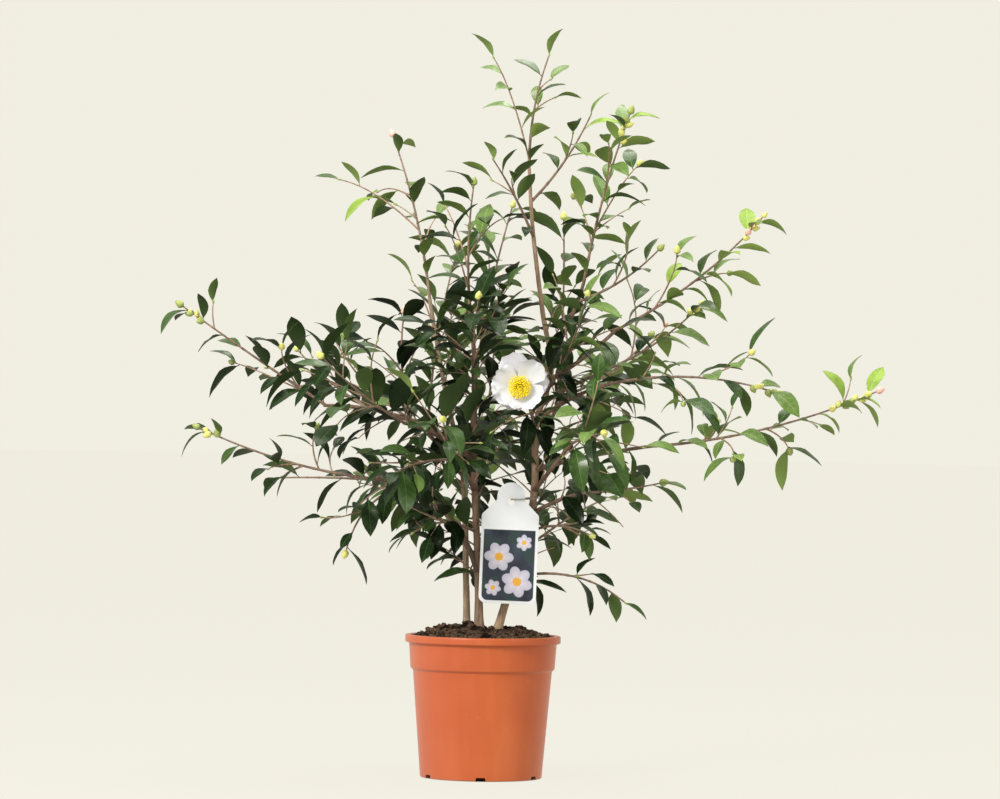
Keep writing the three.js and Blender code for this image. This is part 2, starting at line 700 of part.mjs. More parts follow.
// Twigs by the seeded rule: even steps along the path, each a third of a turn on.
function growTwigs(shoot, path, isFree, random) {
  const twigs = [];
  const first = Math.floor(random() * TWIG.sides);
  for (let index = 0; index < shoot.twigs; index += 1) {
    const step = index + 0.5 + TWIG.vary * (random() - 0.5);
    const share = TWIG.firstShare + (TWIG.share * step) / shoot.twigs;
    const varied = 1 + TWIG.vary * (random() - 0.5);
    const length = shoot.twig * varied * (1.1 - TWIG.taper * share);
    const { place: start, axis } = alongPath(path.points, share);
    const heading = leaning(axis, TWIG.spread, faceTurn(first + index, random));
    heading.z += TWIG.lift;
    heading.normalize();
    const tip = start.clone().addScaledVector(heading, length);
    const tested = new THREE.LineCurve3(start, tip).getPoints(8).slice(1);
    if (tested.every(isFree)) {
      twigs.push({ points: [start, tip], root: TWIG.rootRadius * TWIG.twigRoot });
    }
  }
  return twigs;
}

function leafFrame(heading, roll) {
  const up = new THREE.Vector3(0, 0, 1).addScaledVector(heading, -heading.z);
  if (up.length() < 0.2) {
    up.set(0, -1, 0).addScaledVector(heading, heading.y);
  }
  up.normalize().applyAxisAngle(heading, roll);
  return [up, new THREE.Vector3().crossVectors(heading, up)];
}

// A blade: root, tip and two points on each side, which stand above the line between root
// and tip. The upper side is cut in cross strips, and the underside along the keel.
function leafGeometry(leaf) {
  const [up, side] = leafFrame(leaf.heading, leaf.roll);
  const place = (along, out) => leaf.root.clone()
    .addScaledVector(leaf.heading, along * leaf.length)
    .addScaledVector(side, (out * leaf.width) / 2)
    .addScaledVector(up, out === 0 ? 0 : leaf.arch * leaf.length);
  const near = LEAF.outline.map(([along, out]) => place(along, out));
  const far = LEAF.outline.map(([along, out]) => place(along, -out)).reverse();
  const corners = [place(0, 0), ...near, place(1, 0), ...far];
  const positions = corners.flatMap((corner) => [corner.x, corner.y, corner.z]);
  const upper = [0, 1, 5, 1, 2, 5, 2, 4, 5, 2, 3, 4];
  const under = [0, 3, 1, 3, 2, 1, 0, 5, 3, 5, 4, 3];
  return meshGeometry(positions, [...upper, ...under]);
}

// Points over a blade, close enough together that no limb slips between them.
function leafSamples(leaf) {
  const [up, side] = leafFrame(leaf.heading, leaf.roll);
  const [[widest, reach]] = LEAF.outline;
  const samples = [];
  for (let row = 0; row <= LEAF.rows; row += 1) {
    const along = LEAF.firstRow + ((1 - LEAF.firstRow) * row) / LEAF.rows;
    const half = reach * Math.min(1, along / widest, (1 - along) / widest + 0.02);
    for (let out = -1; out <= 1; out += 0.5) {
      samples.push(leaf.root.clone()
        .addScaledVector(leaf.heading, along * leaf.length)
        .addScaledVector(side, (out * half * leaf.width) / 2)
        .addScaledVector(up, Math.abs(out) * leaf.arch * leaf.length));
    }
  }
  return samples;
}

// One blade at a share of a path. The last blade carries the path on.
function leafAt(shoot, points, share, isTip, turn, random) {
  const spread = isTip ? LEAF.tipSpread : LEAF.spread * (0.8 + 0.4 * random());
  const length = shoot.leaf * (0.85 + 0.3 * random()) * (isTip ? LEAF.tipShare : 1);
  const roll = (random() - 0.5) * 2 * LEAF.roll;
  const { place, axis } = alongPath(points, share);
  const heading = leaning(axis, spread, turn);
  heading.z -= isTip ? 0 : LEAF.droop;
  heading.normalize();
  const root = place.addScaledVector(heading, isTip ? -LEAF.tipSunk : 0);
  const leaf = { root, heading, roll, length, width: length * LEAF.widthShare, arch: LEAF.archShare };
  return { ...leaf, samples: leafSamples(leaf) };
}

// Leaves by the seeded rule: even steps along each path, a third of a turn apart. A blade
// that doesn't fit is tried on the twig's other faces, and then left out.
function growLeaves(shoot, paths, isFree, random) {
  const leaves = [];
  const fits = ({ samples, length }) => (
    samples.every(isFree)
    && !paths.some(({ points }) => samples.some((sample) => (
      distanceToPath(sample, points) < LEAF.fromTwig * length)))
    && !leaves.some((other) => samples.some((sample) => (
      other.samples.some((taken) => taken.distanceTo(sample) < LEAF.apart)))));
  paths.forEach((path, pathIndex) => {
    const bare = pathIndex === 0 ? shoot.bare : LEAF.bareRoot;
    const count = Math.max(1, Math.round((pathLength(path.points) * (1 - bare)) / shoot.step));
    const last = pathIndex < shoot.buds ? count - 1 : count;
    const first = Math.floor(random() * TWIG.sides);
    for (let index = 0; index <= last; index += 1) {
      const share = bare + ((1 - bare) * index) / count;
      for (let attempt = 0; attempt < LEAF.attempts; attempt += 1) {
        const turn = faceTurn(first + index + attempt, random);
        const leaf = leafAt(shoot, path.points, share, index === count, turn, random);
        if (fits(leaf)) {
          leaves.push(leaf);
          break;
        }
      }
    }
  });
  return leaves;
}

function budGeometry(tip, heading) {
  const bud = new THREE.OctahedronGeometry(1, 0);
  bud.scale(BUD.radius, BUD.radius, BUD.length / 2);
  const turn = new THREE.Quaternion().setFromUnitVectors(new THREE.Vector3(0, 0, 1), heading);
  bud.applyQuaternion(turn);
  const middle = tip.clone().addScaledVector(heading, BUD.length / 2 - BUD.sunk);
  bud.translate(middle.x, middle.y, middle.z);
  return bud;
}

// The bloom: a dish with a rounded lobe for each petal, and a boss, facing forward and a
// little down. Every other petal stands further forward.
function bloomSolid() {
  const facing = vector(BLOOM.facing).normalize();
  const middle = vector(BLOOM.middle);
  const [level, other] = across(facing);
  const place = (radius, turn, forward) => middle.clone()
    .addScaledVector(level, radius * Math.cos(turn))
    .addScaledVector(other, radius * Math.sin(turn))
    .addScaledVector(facing, forward);
  const rim = [];
  for (let petal = 0; petal < BLOOM.petals; petal += 1) {
    const forward = BLOOM.cup * BLOOM.radius * (petal % 2 ? 1 : BLOOM.lowPetal);
    BLOOM.lobe.forEach(([share, reach]) => {
      const turn = (2 * Math.PI * (petal + share)) / BLOOM.petals;
      rim.push(place(reach * BLOOM.radius, turn, forward * reach));
    });
  }
  const ring = rim.map((_, index) => (
    place(BLOOM.bossRadius, (2 * Math.PI * index) / rim.length, BLOOM.bossRise)));
  const eyes = ring.filter((_, index) => index % BLOOM.lobe.length === 0);
  const corners = [place(0, 0, 1.6 * BLOOM.bossRise), place(0, 0, -BLOOM.depth), ...eyes, ...rim];
  const positions = corners.flatMap((corner) => [corner.x, corner.y, corner.z]);
  const triangles = [];
  for (let index = 0; index < rim.length; index += 1) {
    const petal = Math.floor(index / BLOOM.lobe.length);
    const eye = 2 + petal;
    const nextEye = 2 + ((petal + 1) % BLOOM.petals);
    const a = 2 + BLOOM.petals + index;
    const b = 2 + BLOOM.petals + ((index + 1) % rim.length);
    const isLast = index % BLOOM.lobe.length === BLOOM.lobe.length - 1;
    triangles.push(eye, a, b, 1, b, a);
    if (isLast) {
      triangles.push(eye, b, nextEye, 0, eye, nextEye);
    }
  }
  return toSolid(meshGeometry(positions, triangles));
}

function makeShoot(shoot, index, guides, paths, limbs, limb) {
  const random = seeded(shoot.seed);
  const isFree = makeFreeTest(index, guides, limbs);
  const twigs = growTwigs(shoot, paths[0], isFree, random);
  const rods = [...paths, ...twigs];
  const leaves = growLeaves(shoot, rods, isFree, random);
  const parts = rods.map(({ points, root }, rod) => {
    const radii = tapered(root, TWIG.tipRadius, points.length - 1);
    const places = [...points];
    if (rod > 0) {
      const heading = points[1].clone().sub(points[0]).normalize();
      places.splice(1, 0, points[0].clone().addScaledVector(heading, TWIG.rootPoint));
      radii.unshift(0);
    }
    return toSolid(rodGeometry(places, radii, TWIG.sides));
  });
  leaves.forEach((leaf) => parts.push(toSolid(leafGeometry(leaf))));
  rods.slice(0, shoot.buds).forEach(({ points }) => {
    const tip = points[points.length - 1];
    const heading = tip.clone().sub(points[points.length - 2]).normalize();
    parts.push(toSolid(budGeometry(tip, heading)));
  });
  if (shoot.bloom) {
    parts.push(bloomSolid());
  }
  return largestBody(wasm.Manifold.union(parts).subtract(limb.fat));
}

// -------------------------------------------------------------- pot, compost and tag

function potInnerProfile() {
  return [
    [POT.footRadius - POT.wall, POT.floor],
    [POT.bodyRadius - POT.wall, POT.bodyHeight],
    [POT.collarLowRadius - POT.wall, POT.collarFoot + POT.wall],
    [POT.collarHighRadius - POT.wall, POT.height],
  ];
}

function makePot() {
  const profile = [
    [0, 0],
    [POT.footRadius, 0],
    [POT.bodyRadius, POT.bodyHeight],
    [POT.collarLowRadius, POT.collarFoot],
    [POT.collarHighRadius, POT.lipFoot - POT.lipSlope],
    [POT.lipRadius, POT.lipFoot],
    [POT.lipRadius, POT.height],
    ...potInnerProfile().reverse(),
    [0, POT.floor],
  ];
  const wall = new THREE.LatheGeometry(profile.map(([r, z]) => new THREE.Vector2(r, z)), POT.sides);
  wall.rotateX(Math.PI / 2);
  let solid = toSolid(wall);
  for (let drain = 0; drain < POT.drains; drain += 1) {
    const slot = new THREE.BoxGeometry(POT.drainWidth, POT.drainDepth, POT.drainHeight * 2);
    slot.translate(0, -POT.footRadius, 0);
    slot.rotateZ((2 * Math.PI * drain) / POT.drains);
    solid = solid.subtract(toSolid(slot));
  }
  return solid;
}

// Compost: fills the pot clear of its wall, level round the stems and lower at the wall.
function makeSoil() {
  const random = seeded(SOIL.seed);
  const wall = potInnerProfile();
  const rings = wall.slice(0, 3).map(([radius, height]) => [radius - 1.5 * GAP, height + GAP]);
  const edge = wall[2][0];
  rings.push([edge, SOIL.edge - SOIL.rimDrop]);
  const level = SOIL.shares[SOIL.shares.length - 1];
  SOIL.shares.forEach((share) => {
    const fall = ((share - level) / (1 - level)) ** SOIL.fall;
    rings.push([edge * share, SOIL.middle + (SOIL.edge - SOIL.middle) * fall]);
  });
  const positions = [0, 0, rings[0][1]];
  const triangles = [];
  rings.forEach(([radius, height], ring) => {
    const lumpy = ring > wall.length - 1 && ring < rings.length - 1;
    for (let corner = 0; corner < POT.sides; corner += 1) {
      const angle = (2 * Math.PI * corner) / POT.sides;
      const lump = lumpy ? (random() - 0.5) * 2 * SOIL.lump : 0;
      positions.push(radius * Math.cos(angle), radius * Math.sin(angle), height + lump);
    }
  });
  positions.push(0, 0, SOIL.middle);
  const top = positions.length / 3 - 1;
  for (let corner = 0; corner < POT.sides; corner += 1) {
    const next = (corner + 1) % POT.sides;
    triangles.push(0, 1 + next, 1 + corner);
    for (let ring = 0; ring < rings.length - 1; ring += 1) {
      const a = 1 + ring * POT.sides + corner;
      const b = 1 + ring * POT.sides + next;
      triangles.push(a, b, b + POT.sides, a, b + POT.sides, a + POT.sides);
    }
    const last = 1 + (rings.length - 1) * POT.sides;
    triangles.push(last + corner, last + next, top);
  }
  return meshGeometry(positions, triangles);
}

// The tag: a plate with rounded corners below and sloping shoulders, and a narrow head with
// a round end and a hole.
function makeTag() {
  const half = TAG.width / 2;
  const corner = TAG.cornerRadius;
  const top = TAG.height + TAG.headRise;
  const neck = top - TAG.headRadius;
  const shape = new THREE.Shape();
  shape.moveTo(-half + corner, 0);
  shape.lineTo(half - corner, 0);
  shape.absarc(half - corner, corner, corner, -Math.PI / 2, 0, false);
  shape.lineTo(half, TAG.height);
  shape.lineTo(TAG.headRadius, TAG.height + TAG.neckRise);
  shape.absarc(0, neck, TAG.headRadius, 0, Math.PI, false);
  shape.lineTo(-TAG.headRadius, TAG.height + TAG.neckRise);
  shape.lineTo(-half, TAG.height);
  shape.lineTo(-half, corner);
  shape.absarc(-half + corner, corner, corner, Math.PI, 1.5 * Math.PI, false);
  const hole = new THREE.Path();
  hole.absarc(0, top - TAG.holeDrop, TAG.holeRadius, 0, 2 * Math.PI, true);
  shape.holes.push(hole);
  const plate = new THREE.ExtrudeGeometry(shape, {
    depth: TAG.thickness, bevelEnabled: false, curveSegments: 6,
  });
  plate.translate(0, 0, -TAG.thickness / 2);
  plate.rotateX(Math.PI / 2);
  return plate;
}

// The loop: a closed ring that goes back through the tag's hole, round the stem, and home
// past the edge of the tag's head.
function makeTie(hole, stemMiddle, stemRadius) {
  const clear = TIE.lean * stemRadius + 2 * GAP + TIE.radius;
  const reach = clear / Math.cos(Math.PI / (2 * TIE.turns));
  const ahead = hole.clone().sub(stemMiddle).setZ(0).normalize();
  const square = new THREE.Vector3(-ahead.y, ahead.x, 0);
  const face = TAG.thickness / 2 + TIE.radius + GAP;
  const way = [hole.clone(), hole.clone().add(new THREE.Vector3(TIE.slack / 2, face + 1, TIE.sag / 2))];
  for (let step = 0; step <= TIE.turns; step += 1) {
    const angle = (Math.PI * step) / TIE.turns;
    way.push(stemMiddle.clone()
      .addScaledVector(square, -reach * Math.cos(angle))
      .addScaledVector(ahead, -reach * Math.sin(angle)));
  }
  if (way[2].distanceTo(way[1]) > way[way.length - 1].distanceTo(way[1])) {
    way.push(...way.splice(2).reverse());
  }
  way.push(
    hole.clone().add(new THREE.Vector3(TAG.headRadius + TIE.slack, 0, TIE.sag)),
    hole.clone().add(new THREE.Vector3(TAG.headRadius, -face - TIE.sag, TIE.sag)),
    hole.clone().add(new THREE.Vector3(TIE.slack, -face - TIE.sag, 0)),
  );
  const positions = [];
  const triangles = [];
  const rise = new THREE.Vector3(0, 0, 1);
  way.forEach((place, index) => {
    const before = way[(index + way.length - 1) % way.length];
    const after = way[(index + 1) % way.length];
    const along = after.clone().sub(before).normalize();
    const side = new THREE.Vector3().crossVectors(rise, along).normalize();
    const up = new THREE.Vector3().crossVectors(along, side);
    const next = ((index + 1) % way.length) * TIE.sides;
    for (let corner = 0; corner < TIE.sides; corner += 1) {
      const angle = (2 * Math.PI * corner) / TIE.sides;
      const point = place.clone()
        .addScaledVector(side, TIE.radius * Math.cos(angle))
        .addScaledVector(up, TIE.radius * Math.sin(angle));
      positions.push(point.x, point.y, point.z);
      const a = index * TIE.sides + corner;
      const b = index * TIE.sides + ((corner + 1) % TIE.sides);
      const c = next + corner;
      const d = next + ((corner + 1) % TIE.sides);
      triangles.push(a, b, d, a, d, c);
    }
  });
  return meshGeometry(positions, triangles);
}

// -------------------------------------------------------------------------- assembly

const plant = new THREE.Group();
plant.add(named('pot', toGeometry(makePot()), LOOKS.pot));
plant.add(named('soil', makeSoil(), LOOKS.soil));

const stems = STEMS.map(makeStem);
const stemOf = Object.fromEntries(stems.map((stem) => [stem.name, stem]));
const boughs = BOUGHS.map((bough) => makeBough(bough, stemOf[bough.on]));
const limbs = [...stems, ...boughs];
const limbOf = Object.fromEntries(limbs.map((limb) => [limb.name, limb]));
limbs.forEach((limb) => plant.add(named(limb.name, toGeometry(limb.solid), LOOKS.bark)));

const shootPathLists = SHOOTS.map((shoot) => shootPaths(shoot, limbOf[shoot.on]));
const guides = shootPathLists.map((paths) => paths.map(({ points }) => points));
SHOOTS.forEach((shoot, index) => {
  const solid = makeShoot(shoot, index, guides, shootPathLists[index], limbs, limbOf[shoot.on]);
  plant.add(named(shoot.name, toGeometry(solid), LOOKS.foliage));
});

const tag = named('tag', makeTag(), LOOKS.tag);
tag.position.set(...TAG.middle);
tag.rotation.y = TAG.lean;
plant.add(tag);

const holeRise = TAG.height + TAG.headRise - TAG.holeDrop;
const hole = new THREE.Vector3(
  TAG.middle[0] + holeRise * Math.sin(TAG.lean),
  TAG.middle[1],
  TAG.middle[2] + holeRise * Math.cos(TAG.lean) + TAG.holeRadius - TIE.radius - GAP,
);
const rightStem = stemOf.stem_right;
const tieShare = shareAtHeight(rightStem.curve, TIE.height);
const tieRadius = rightStem.radii[Math.floor(tieShare * (rightStem.radii.length - 1))];
plant.add(named('tag_tie', makeTie(hole, rightStem.curve.getPoint(tieShare), tieRadius), LOOKS.tie));

export default plant;
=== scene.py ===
import math
import bpy
import numpy as np
from mathutils import Matrix, Vector


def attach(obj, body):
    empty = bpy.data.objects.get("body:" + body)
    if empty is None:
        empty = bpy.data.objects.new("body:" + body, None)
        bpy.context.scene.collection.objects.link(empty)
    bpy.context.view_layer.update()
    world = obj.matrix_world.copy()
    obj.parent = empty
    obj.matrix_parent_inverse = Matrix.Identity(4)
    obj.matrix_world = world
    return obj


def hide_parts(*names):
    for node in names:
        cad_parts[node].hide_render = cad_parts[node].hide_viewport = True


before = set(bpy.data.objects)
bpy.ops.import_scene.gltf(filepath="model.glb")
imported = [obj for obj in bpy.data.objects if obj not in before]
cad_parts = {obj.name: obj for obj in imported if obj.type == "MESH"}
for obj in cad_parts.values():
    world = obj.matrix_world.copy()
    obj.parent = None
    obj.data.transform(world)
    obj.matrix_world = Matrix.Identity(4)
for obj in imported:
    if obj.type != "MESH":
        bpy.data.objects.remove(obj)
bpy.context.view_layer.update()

# ---------------------------------------------------------------------------------------
# Pot: a round nursery pot, moulded in terracotta-coloured plastic with a thin wall, a deep
# collar, a turned-out lip and drain notches in its foot. It stands on the ring of its foot.


class Signal:
    """One output socket in a material. Arithmetic on it adds Math nodes, add() any other node."""

    def __init__(self, tree, socket=None):
        self.tree = tree
        self.socket = socket

    def add(self, kind, inputs, output=0, **settings):
        """Adds a node, sets it up, fills its sockets with numbers, colours (red, green, blue) or
        signals, and gives one of its outputs."""
        node = self.tree.nodes.new("ShaderNode" + kind)
        for name, value in settings.items():
            setattr(node, name, value)
        for name, value in inputs.items():
            socket = node.inputs[name]
            if isinstance(value, Signal):
                self.tree.links.new(value.socket, socket)
            else:
                socket.default_value = (*value, 1) if socket.type == "RGBA" else value
        return Signal(self.tree, node.outputs[output] if node.outputs else None)

    def math(self, operation, *others):
        return self.add("Math", dict(enumerate((self, *others))), operation=operation)

    def __add__(self, other):
        return self.math("ADD", other)

    def __sub__(self, other):
        return self.math("SUBTRACT", other)

    def __mul__(self, other):
        return self.math("MULTIPLY", other)

    def __pow__(self, other):
        return self.math("POWER", other)

    __radd__ = __add__

    def noise(self, scale, detail=2.0, rough=0.5):
        inputs = {"Vector": self, "Scale": scale, "Detail": detail, "Roughness": rough}
        return self.add("TexNoise", inputs, "Fac")

    def stretch(self, x, y, z):
        """This place, scaled along each axis, so that a pattern on it is drawn out."""
        return self.add("Mapping", {"Vector": self, "Scale": (x, y, z)})

    def axis(self, letter):
        """One coordinate of this place."""
        return self.add("SeparateXYZ", {"Vector": self}, letter)

    def length(self):
        """How far this place is from the origin."""
        return self.add("VectorMath", {"Vector": self}, "Value", operation="LENGTH")

    def between(self, low, high):
        """0 where the signal is under low, 1 where it is over high, and even between."""
        return self.add("MapRange", {"Value": self, "From Min": low, "From Max": high})

    def mix(self, first, second):
        """A colour between two colours, by this signal."""
        return self.add("Mix", {0: self, 6: first, 7: second}, 2, data_type="RGBA")


def start_finish(name):
    """A new material, with its place in the object's frame and on the piece's own map."""
    made = bpy.data.materials.new(name)
    made.use_nodes = True
    made.node_tree.nodes.clear()
    start = Signal(made.node_tree)
    place = start.add("TexCoord", {}, "Object")
    chart = start.add("TexCoord", {}, "UV")
    return made, place, chart


def end_finish(made, base, roughness, height=None, relief=0.2, depth=0.001, **fixed):
    """Joins the parts of a finish: its colour, its roughness, and relief from a height signal."""
    start = Signal(made.node_tree)
    inputs = {"Base Color": base, "Roughness": roughness}
    inputs.update({name.replace("_", " "): value for name, value in fixed.items()})
    if height is not None:
        bump = {"Height": height, "Strength": relief, "Distance": depth}
        inputs["Normal"] = start.add("Bump", bump)
    shader = start.add("BsdfPrincipled", inputs)
    start.add("OutputMaterial", {"Surface": shader})
    return made


MM = 0.001  # all sizes below are in millimetres


def make_piece(name, stacks, finishes, bands=(0,), loop=False, crease=40):
    """Joins closed bodies into one object on the root body. Each stack is an array of
    (bodies, rings, corners, 3): the corners go round each ring, neighbouring rings are
    joined by four-sided faces, and the first and last ring are capped, unless loop joins
    them. bands gives the finish of each strip between two corners. The map runs round the
    rings and along them from 0 to 1, and crease is the angle that stays sharp."""
    points, quads, caps, kinds, charts = [], [], [], [], []
    start = 0
    for stack in stacks:
        copies, rings, corners, _ = stack.shape
        index = start + np.arange(copies * rings * corners).reshape(copies, rings, corners)
        start += index.size
        points.append(stack.reshape(-1, 3))
        low = index if loop else index[:, :-1]
        high = np.roll(index, -1, 1) if loop else index[:, 1:]
        faces = np.stack([low, np.roll(low, -1, 2), np.roll(high, -1, 2), high], -1)
        quads.append(faces.reshape(-1, 4))
        band = np.resize(bands, corners)
        kinds.append(np.broadcast_to(band, low.shape).ravel())
        ring = np.arange(low.shape[1])[None, :, None, None] + np.array([0, 0, 1, 1])
        corner = np.arange(corners)[None, None, :, None] + np.array([0, 1, 1, 0])
        chart = np.empty(faces.shape + (2,))
        chart[..., 0] = corner / corners
        chart[..., 1] = ring / low.shape[1]
        charts.append(chart.reshape(-1, 2))
        if not loop:
            caps += index[:, 0, ::-1].tolist() + index[:, -1].tolist()
    points = np.concatenate(points) * MM
    quads = np.concatenate(quads)
    mesh = bpy.data.meshes.new(name)
    mesh.from_pydata(points.tolist(), [], quads.tolist() + caps)
    kinds = np.concatenate(kinds + [np.full(len(caps), bands[0])])
    mesh.polygons.foreach_set("material_index", kinds.astype(np.int32))
    spare = np.zeros((len(mesh.loops) - quads.size, 2))
    chart = mesh.uv_layers.new(name="chart")
    chart.data.foreach_set("uv", np.concatenate(charts + [spare]).ravel())
    for finish in finishes:
        mesh.materials.append(finish)
    mesh.polygons.foreach_set("use_smooth", np.ones(len(mesh.polygons), bool))
    mesh.set_sharp_from_angle(angle=math.radians(crease))
    made = bpy.data.objects.new(name, mesh)
    bpy.context.scene.collection.objects.link(made)
    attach(made, "root")
    return made


def unit(vectors):
    """Vectors scaled to a length of 1."""
    return vectors / np.linalg.norm(vectors, axis=-1, keepdims=True)


def rounded(profile):
    """A profile of (radius, height, size of its rounding): each corner is a curve
    (1-t)^2 a + 2t(1-t) corner + t^2 b between points a and b at that distance on its sides."""
    rows = np.array(profile, float)
    share = np.linspace(0, 1, 5)[:, None]
    route = [rows[:1, :2]]
    for before, here, after in zip(rows, rows[1:], rows[2:]):
        a = here[:2] + unit(before[:2] - here[:2]) * here[2]
        b = here[:2] + unit(after[:2] - here[:2]) * here[2]
        route.append((1 - share) ** 2 * a + 2 * share * (1 - share) * here[:2] + share**2 * b)
    route.append(rows[-1:, :2])
    return np.concatenate(route)


def turned(radii, heights, corners):
    """A body of revolution: ring i has radius radii[i] and stands at heights[i]."""
    angle = np.linspace(0, 2 * np.pi, corners, endpoint=False)
    radii, heights = (np.tile(np.reshape(part, (-1, 1)), corners) for part in (radii, heights))
    return np.stack([radii * np.cos(angle), radii * np.sin(angle), heights], -1)[None]


pot_height, foot_radius, foot_ring = 174, 59.5, 62
pot_inside = [(88.2, pot_height, 1.2), (86.2, 136, 1.5), (83, 131, 1.5), (72.5, 3, 2)]
pot_outside = [
    (8, 1.2, 0), (58, 1.2, 0.4), (foot_radius, 0, 0.5), (74.5, 0, 1.2), (85, 130.6, 0.6),
    (88.2, 133.4, 0.9), (90.2, 163.6, 1.2), (95, 165.4, 0.9), (95, pot_height, 1.8),
]
profile = rounded(pot_outside + pot_inside + [(8, 3, 0)])
profile = np.concatenate([  # long plain stretches get rings of their own, for an even surface
    np.linspace(a, b, max(1, int(np.linalg.norm(b - a) / 9)), endpoint=False)
    for a, b in zip(profile, profile[1:])
] + [profile[-1:]])
pot = turned(profile[:, 0], profile[:, 1], 360)
drains, drain_half, drain_height = 6, 0.087, 4.4
bearing = np.arctan2(pot[..., 1], pot[..., 0])
from_drain = np.abs(np.angle(np.exp(1j * drains * (bearing + np.pi / 2))))
in_drain = np.clip((drain_half * drains - from_drain) / 0.06, 0, 1)
cut = (np.hypot(pot[..., 0], pot[..., 1]) > foot_ring) & (pot[..., 2] < drain_height)
pot[..., 2] += np.where(cut, in_drain * (drain_height - pot[..., 2]), 0)
sway = 1 + 0.0035 * np.cos(2 * bearing + 0.6) * pot[..., 2] / pot_height  # a trace out of round
pot[..., :2] *= sway[..., None]

pot_plastic, place, _ = start_finish("terracotta_plastic")
clouds = place.noise(9, 2)
flow = place.stretch(1, 1, 0.12).noise(34, 3)
scuffs = place.stretch(1, 1, 2.4).noise(120, 5, 0.7).between(0.62, 0.78)
grime = place.noise(26, 4).between(0.45, 0.75) * 0.35
tone = clouds * 0.6 + flow * 0.4
# painted light and reflection: the pot's left side, towards the key lamp, is lighter and pinker
painted_left_light = place.axis("X").between(0.015, -0.075) * 0.45
warm = tone.between(0.35, 0.65).mix((0.36, 0.059, 0.008), (0.455, 0.1, 0.024))
warm = painted_left_light.mix(warm, (0.5, 0.125, 0.062))
dusty = (scuffs * 0.3).mix(warm, (0.55, 0.24, 0.14))
soiled = (grime * 0.3).mix(dusty, (0.36, 0.1, 0.045))
# painted shade: the tops of the drain notches in the foot are dark, where little light gets in
reach = place.stretch(1, 1, 0).length()
painted_drain_shade = reach.between(0.0741, 0.0734) * place.axis("Z").between(0.0056, 0.0046)  # the drains
end_finish(
    pot_plastic, painted_drain_shade.mix(soiled, (0.1, 0.021, 0.006)),
    0.29 + flow * 0.12 + scuffs * 0.2,
    height=flow * 0.8 + place.noise(700, 2) * 0.12, relief=0.25, Specular_IOR_Level=0.4,
)
pot_piece = make_piece("nursery_pot", [pot], [pot_plastic], crease=32)
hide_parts("pot")

# ---------------------------------------------------------------------------------------
# Compost: moist dark potting mix of peat and bark fines, heaped a little round the stems,
# with loose crumbs, wood chips and some pale-green moss lying on it.


def smooth_noise(points, size, seed):
    """Noise from -1 to 1: random values on a lattice of cells of that size, blended between
    the eight corners round each point by 3t^2 - 2t^3."""
    values = np.random.default_rng(seed).uniform(-1, 1, (32, 32, 32))
    cell = np.floor(points / size)
    share = points / size - cell
    share = share * share * (3 - 2 * share)
    total = np.zeros(points.shape[:-1])
    for corner in np.ndindex(2, 2, 2):
        weight = np.where(corner, share, 1 - share).prod(-1)
        found = np.moveaxis((cell + corner).astype(int) % 32, -1, 0)
        total += weight * values[tuple(found)]
    return total


compost_edge, compost_level = 85.6, 177.6
heaps = [  # x, y, radius and rise: the first three are round the stems
    (-17, 2, 17, 11), (6, -10, 22, 3), (44, 10, 16, 7), (-55, 12, 20, 6), (62, -18, 10, 4),
]


def compost_height(x, y):
    """Height of the compost: level in the middle and lower at the wall, plus a bell-shaped
    heap h exp(-d^2 / r^2) at each place and noise in three sizes."""
    reach = np.hypot(x, y) / compost_edge
    height = compost_level - 7.5 * np.clip((reach - 0.42) / 0.58, 0, 1) ** 1.6
    for middle_x, middle_y, radius, rise in heaps:
        height = height + rise * np.exp(-((x - middle_x) ** 2 + (y - middle_y) ** 2) / radius**2)
    flat = np.stack([x, y, np.zeros_like(x)], -1)
    for size, rise, seed in ((14, 1.6, 1), (6, 1.7, 2), (2.6, 0.9, 3)):
        height = height + rise * smooth_noise(flat + 500, size, seed)
    return height


surface = np.linspace(compost_edge, 1.5, 62)
wall = np.array([(4, 3.6), (72, 3.6), (82.2, 131), (85.5, 137)])
rings = np.concatenate([wall[:, 0], surface])
compost = turned(rings, np.zeros(len(rings)), 220)
compost[..., 2] = compost_height(compost[..., 0], compost[..., 1])
compost[:, :4, :, 2] = wall[None, :, None, 1]


def crumbs(count, low, high, seed, flat=0.75):
    """Clods: rings of six corners at polar angles 35, 75, 105 and 145 degrees, each corner's
    radius uneven, squashed and turned, and set half into the compost at random places."""
    draw = np.random.default_rng(seed)
    polar = np.radians([35, 75, 105, 145])[None, :, None]
    angle = (np.arange(6) * np.pi / 3)[None, None]
    uneven = draw.uniform(0.72, 1.22, (count, 4, 6))
    body = np.stack([
        np.sin(polar) * np.cos(angle) * uneven,
        np.sin(polar) * np.sin(angle) * uneven,
        -np.cos(polar) * uneven * flat,
    ], -1)
    size = (low + (high - low) * draw.random(count) ** 2.5) / 2
    body *= size[:, None, None, None] * draw.uniform(0.7, 1.3, (count, 1, 1, 3))
    turn = draw.uniform(0, 2 * np.pi, (count, 1, 1))
    tilt = draw.uniform(-0.7, 0.7, (count, 1, 1))
    x, y, z = np.moveaxis(body, -1, 0)
    x, z = x * np.cos(tilt) + z * np.sin(tilt), z * np.cos(tilt) - x * np.sin(tilt)
    x, y = x * np.cos(turn) - y * np.sin(turn), x * np.sin(turn) + y * np.cos(turn)
    away = 0.97 * compost_edge * np.sqrt(draw.random(count))
    bearing = draw.uniform(0, 2 * np.pi, count)
    place_x = away * np.cos(bearing)
    place_y = away * np.sin(bearing)
    place_z = compost_height(place_x, place_y) + size * 0.25
    middle = np.stack([place_x, place_y, place_z], -1)
    return np.stack([x, y, z], -1) + middle[:, None, None]


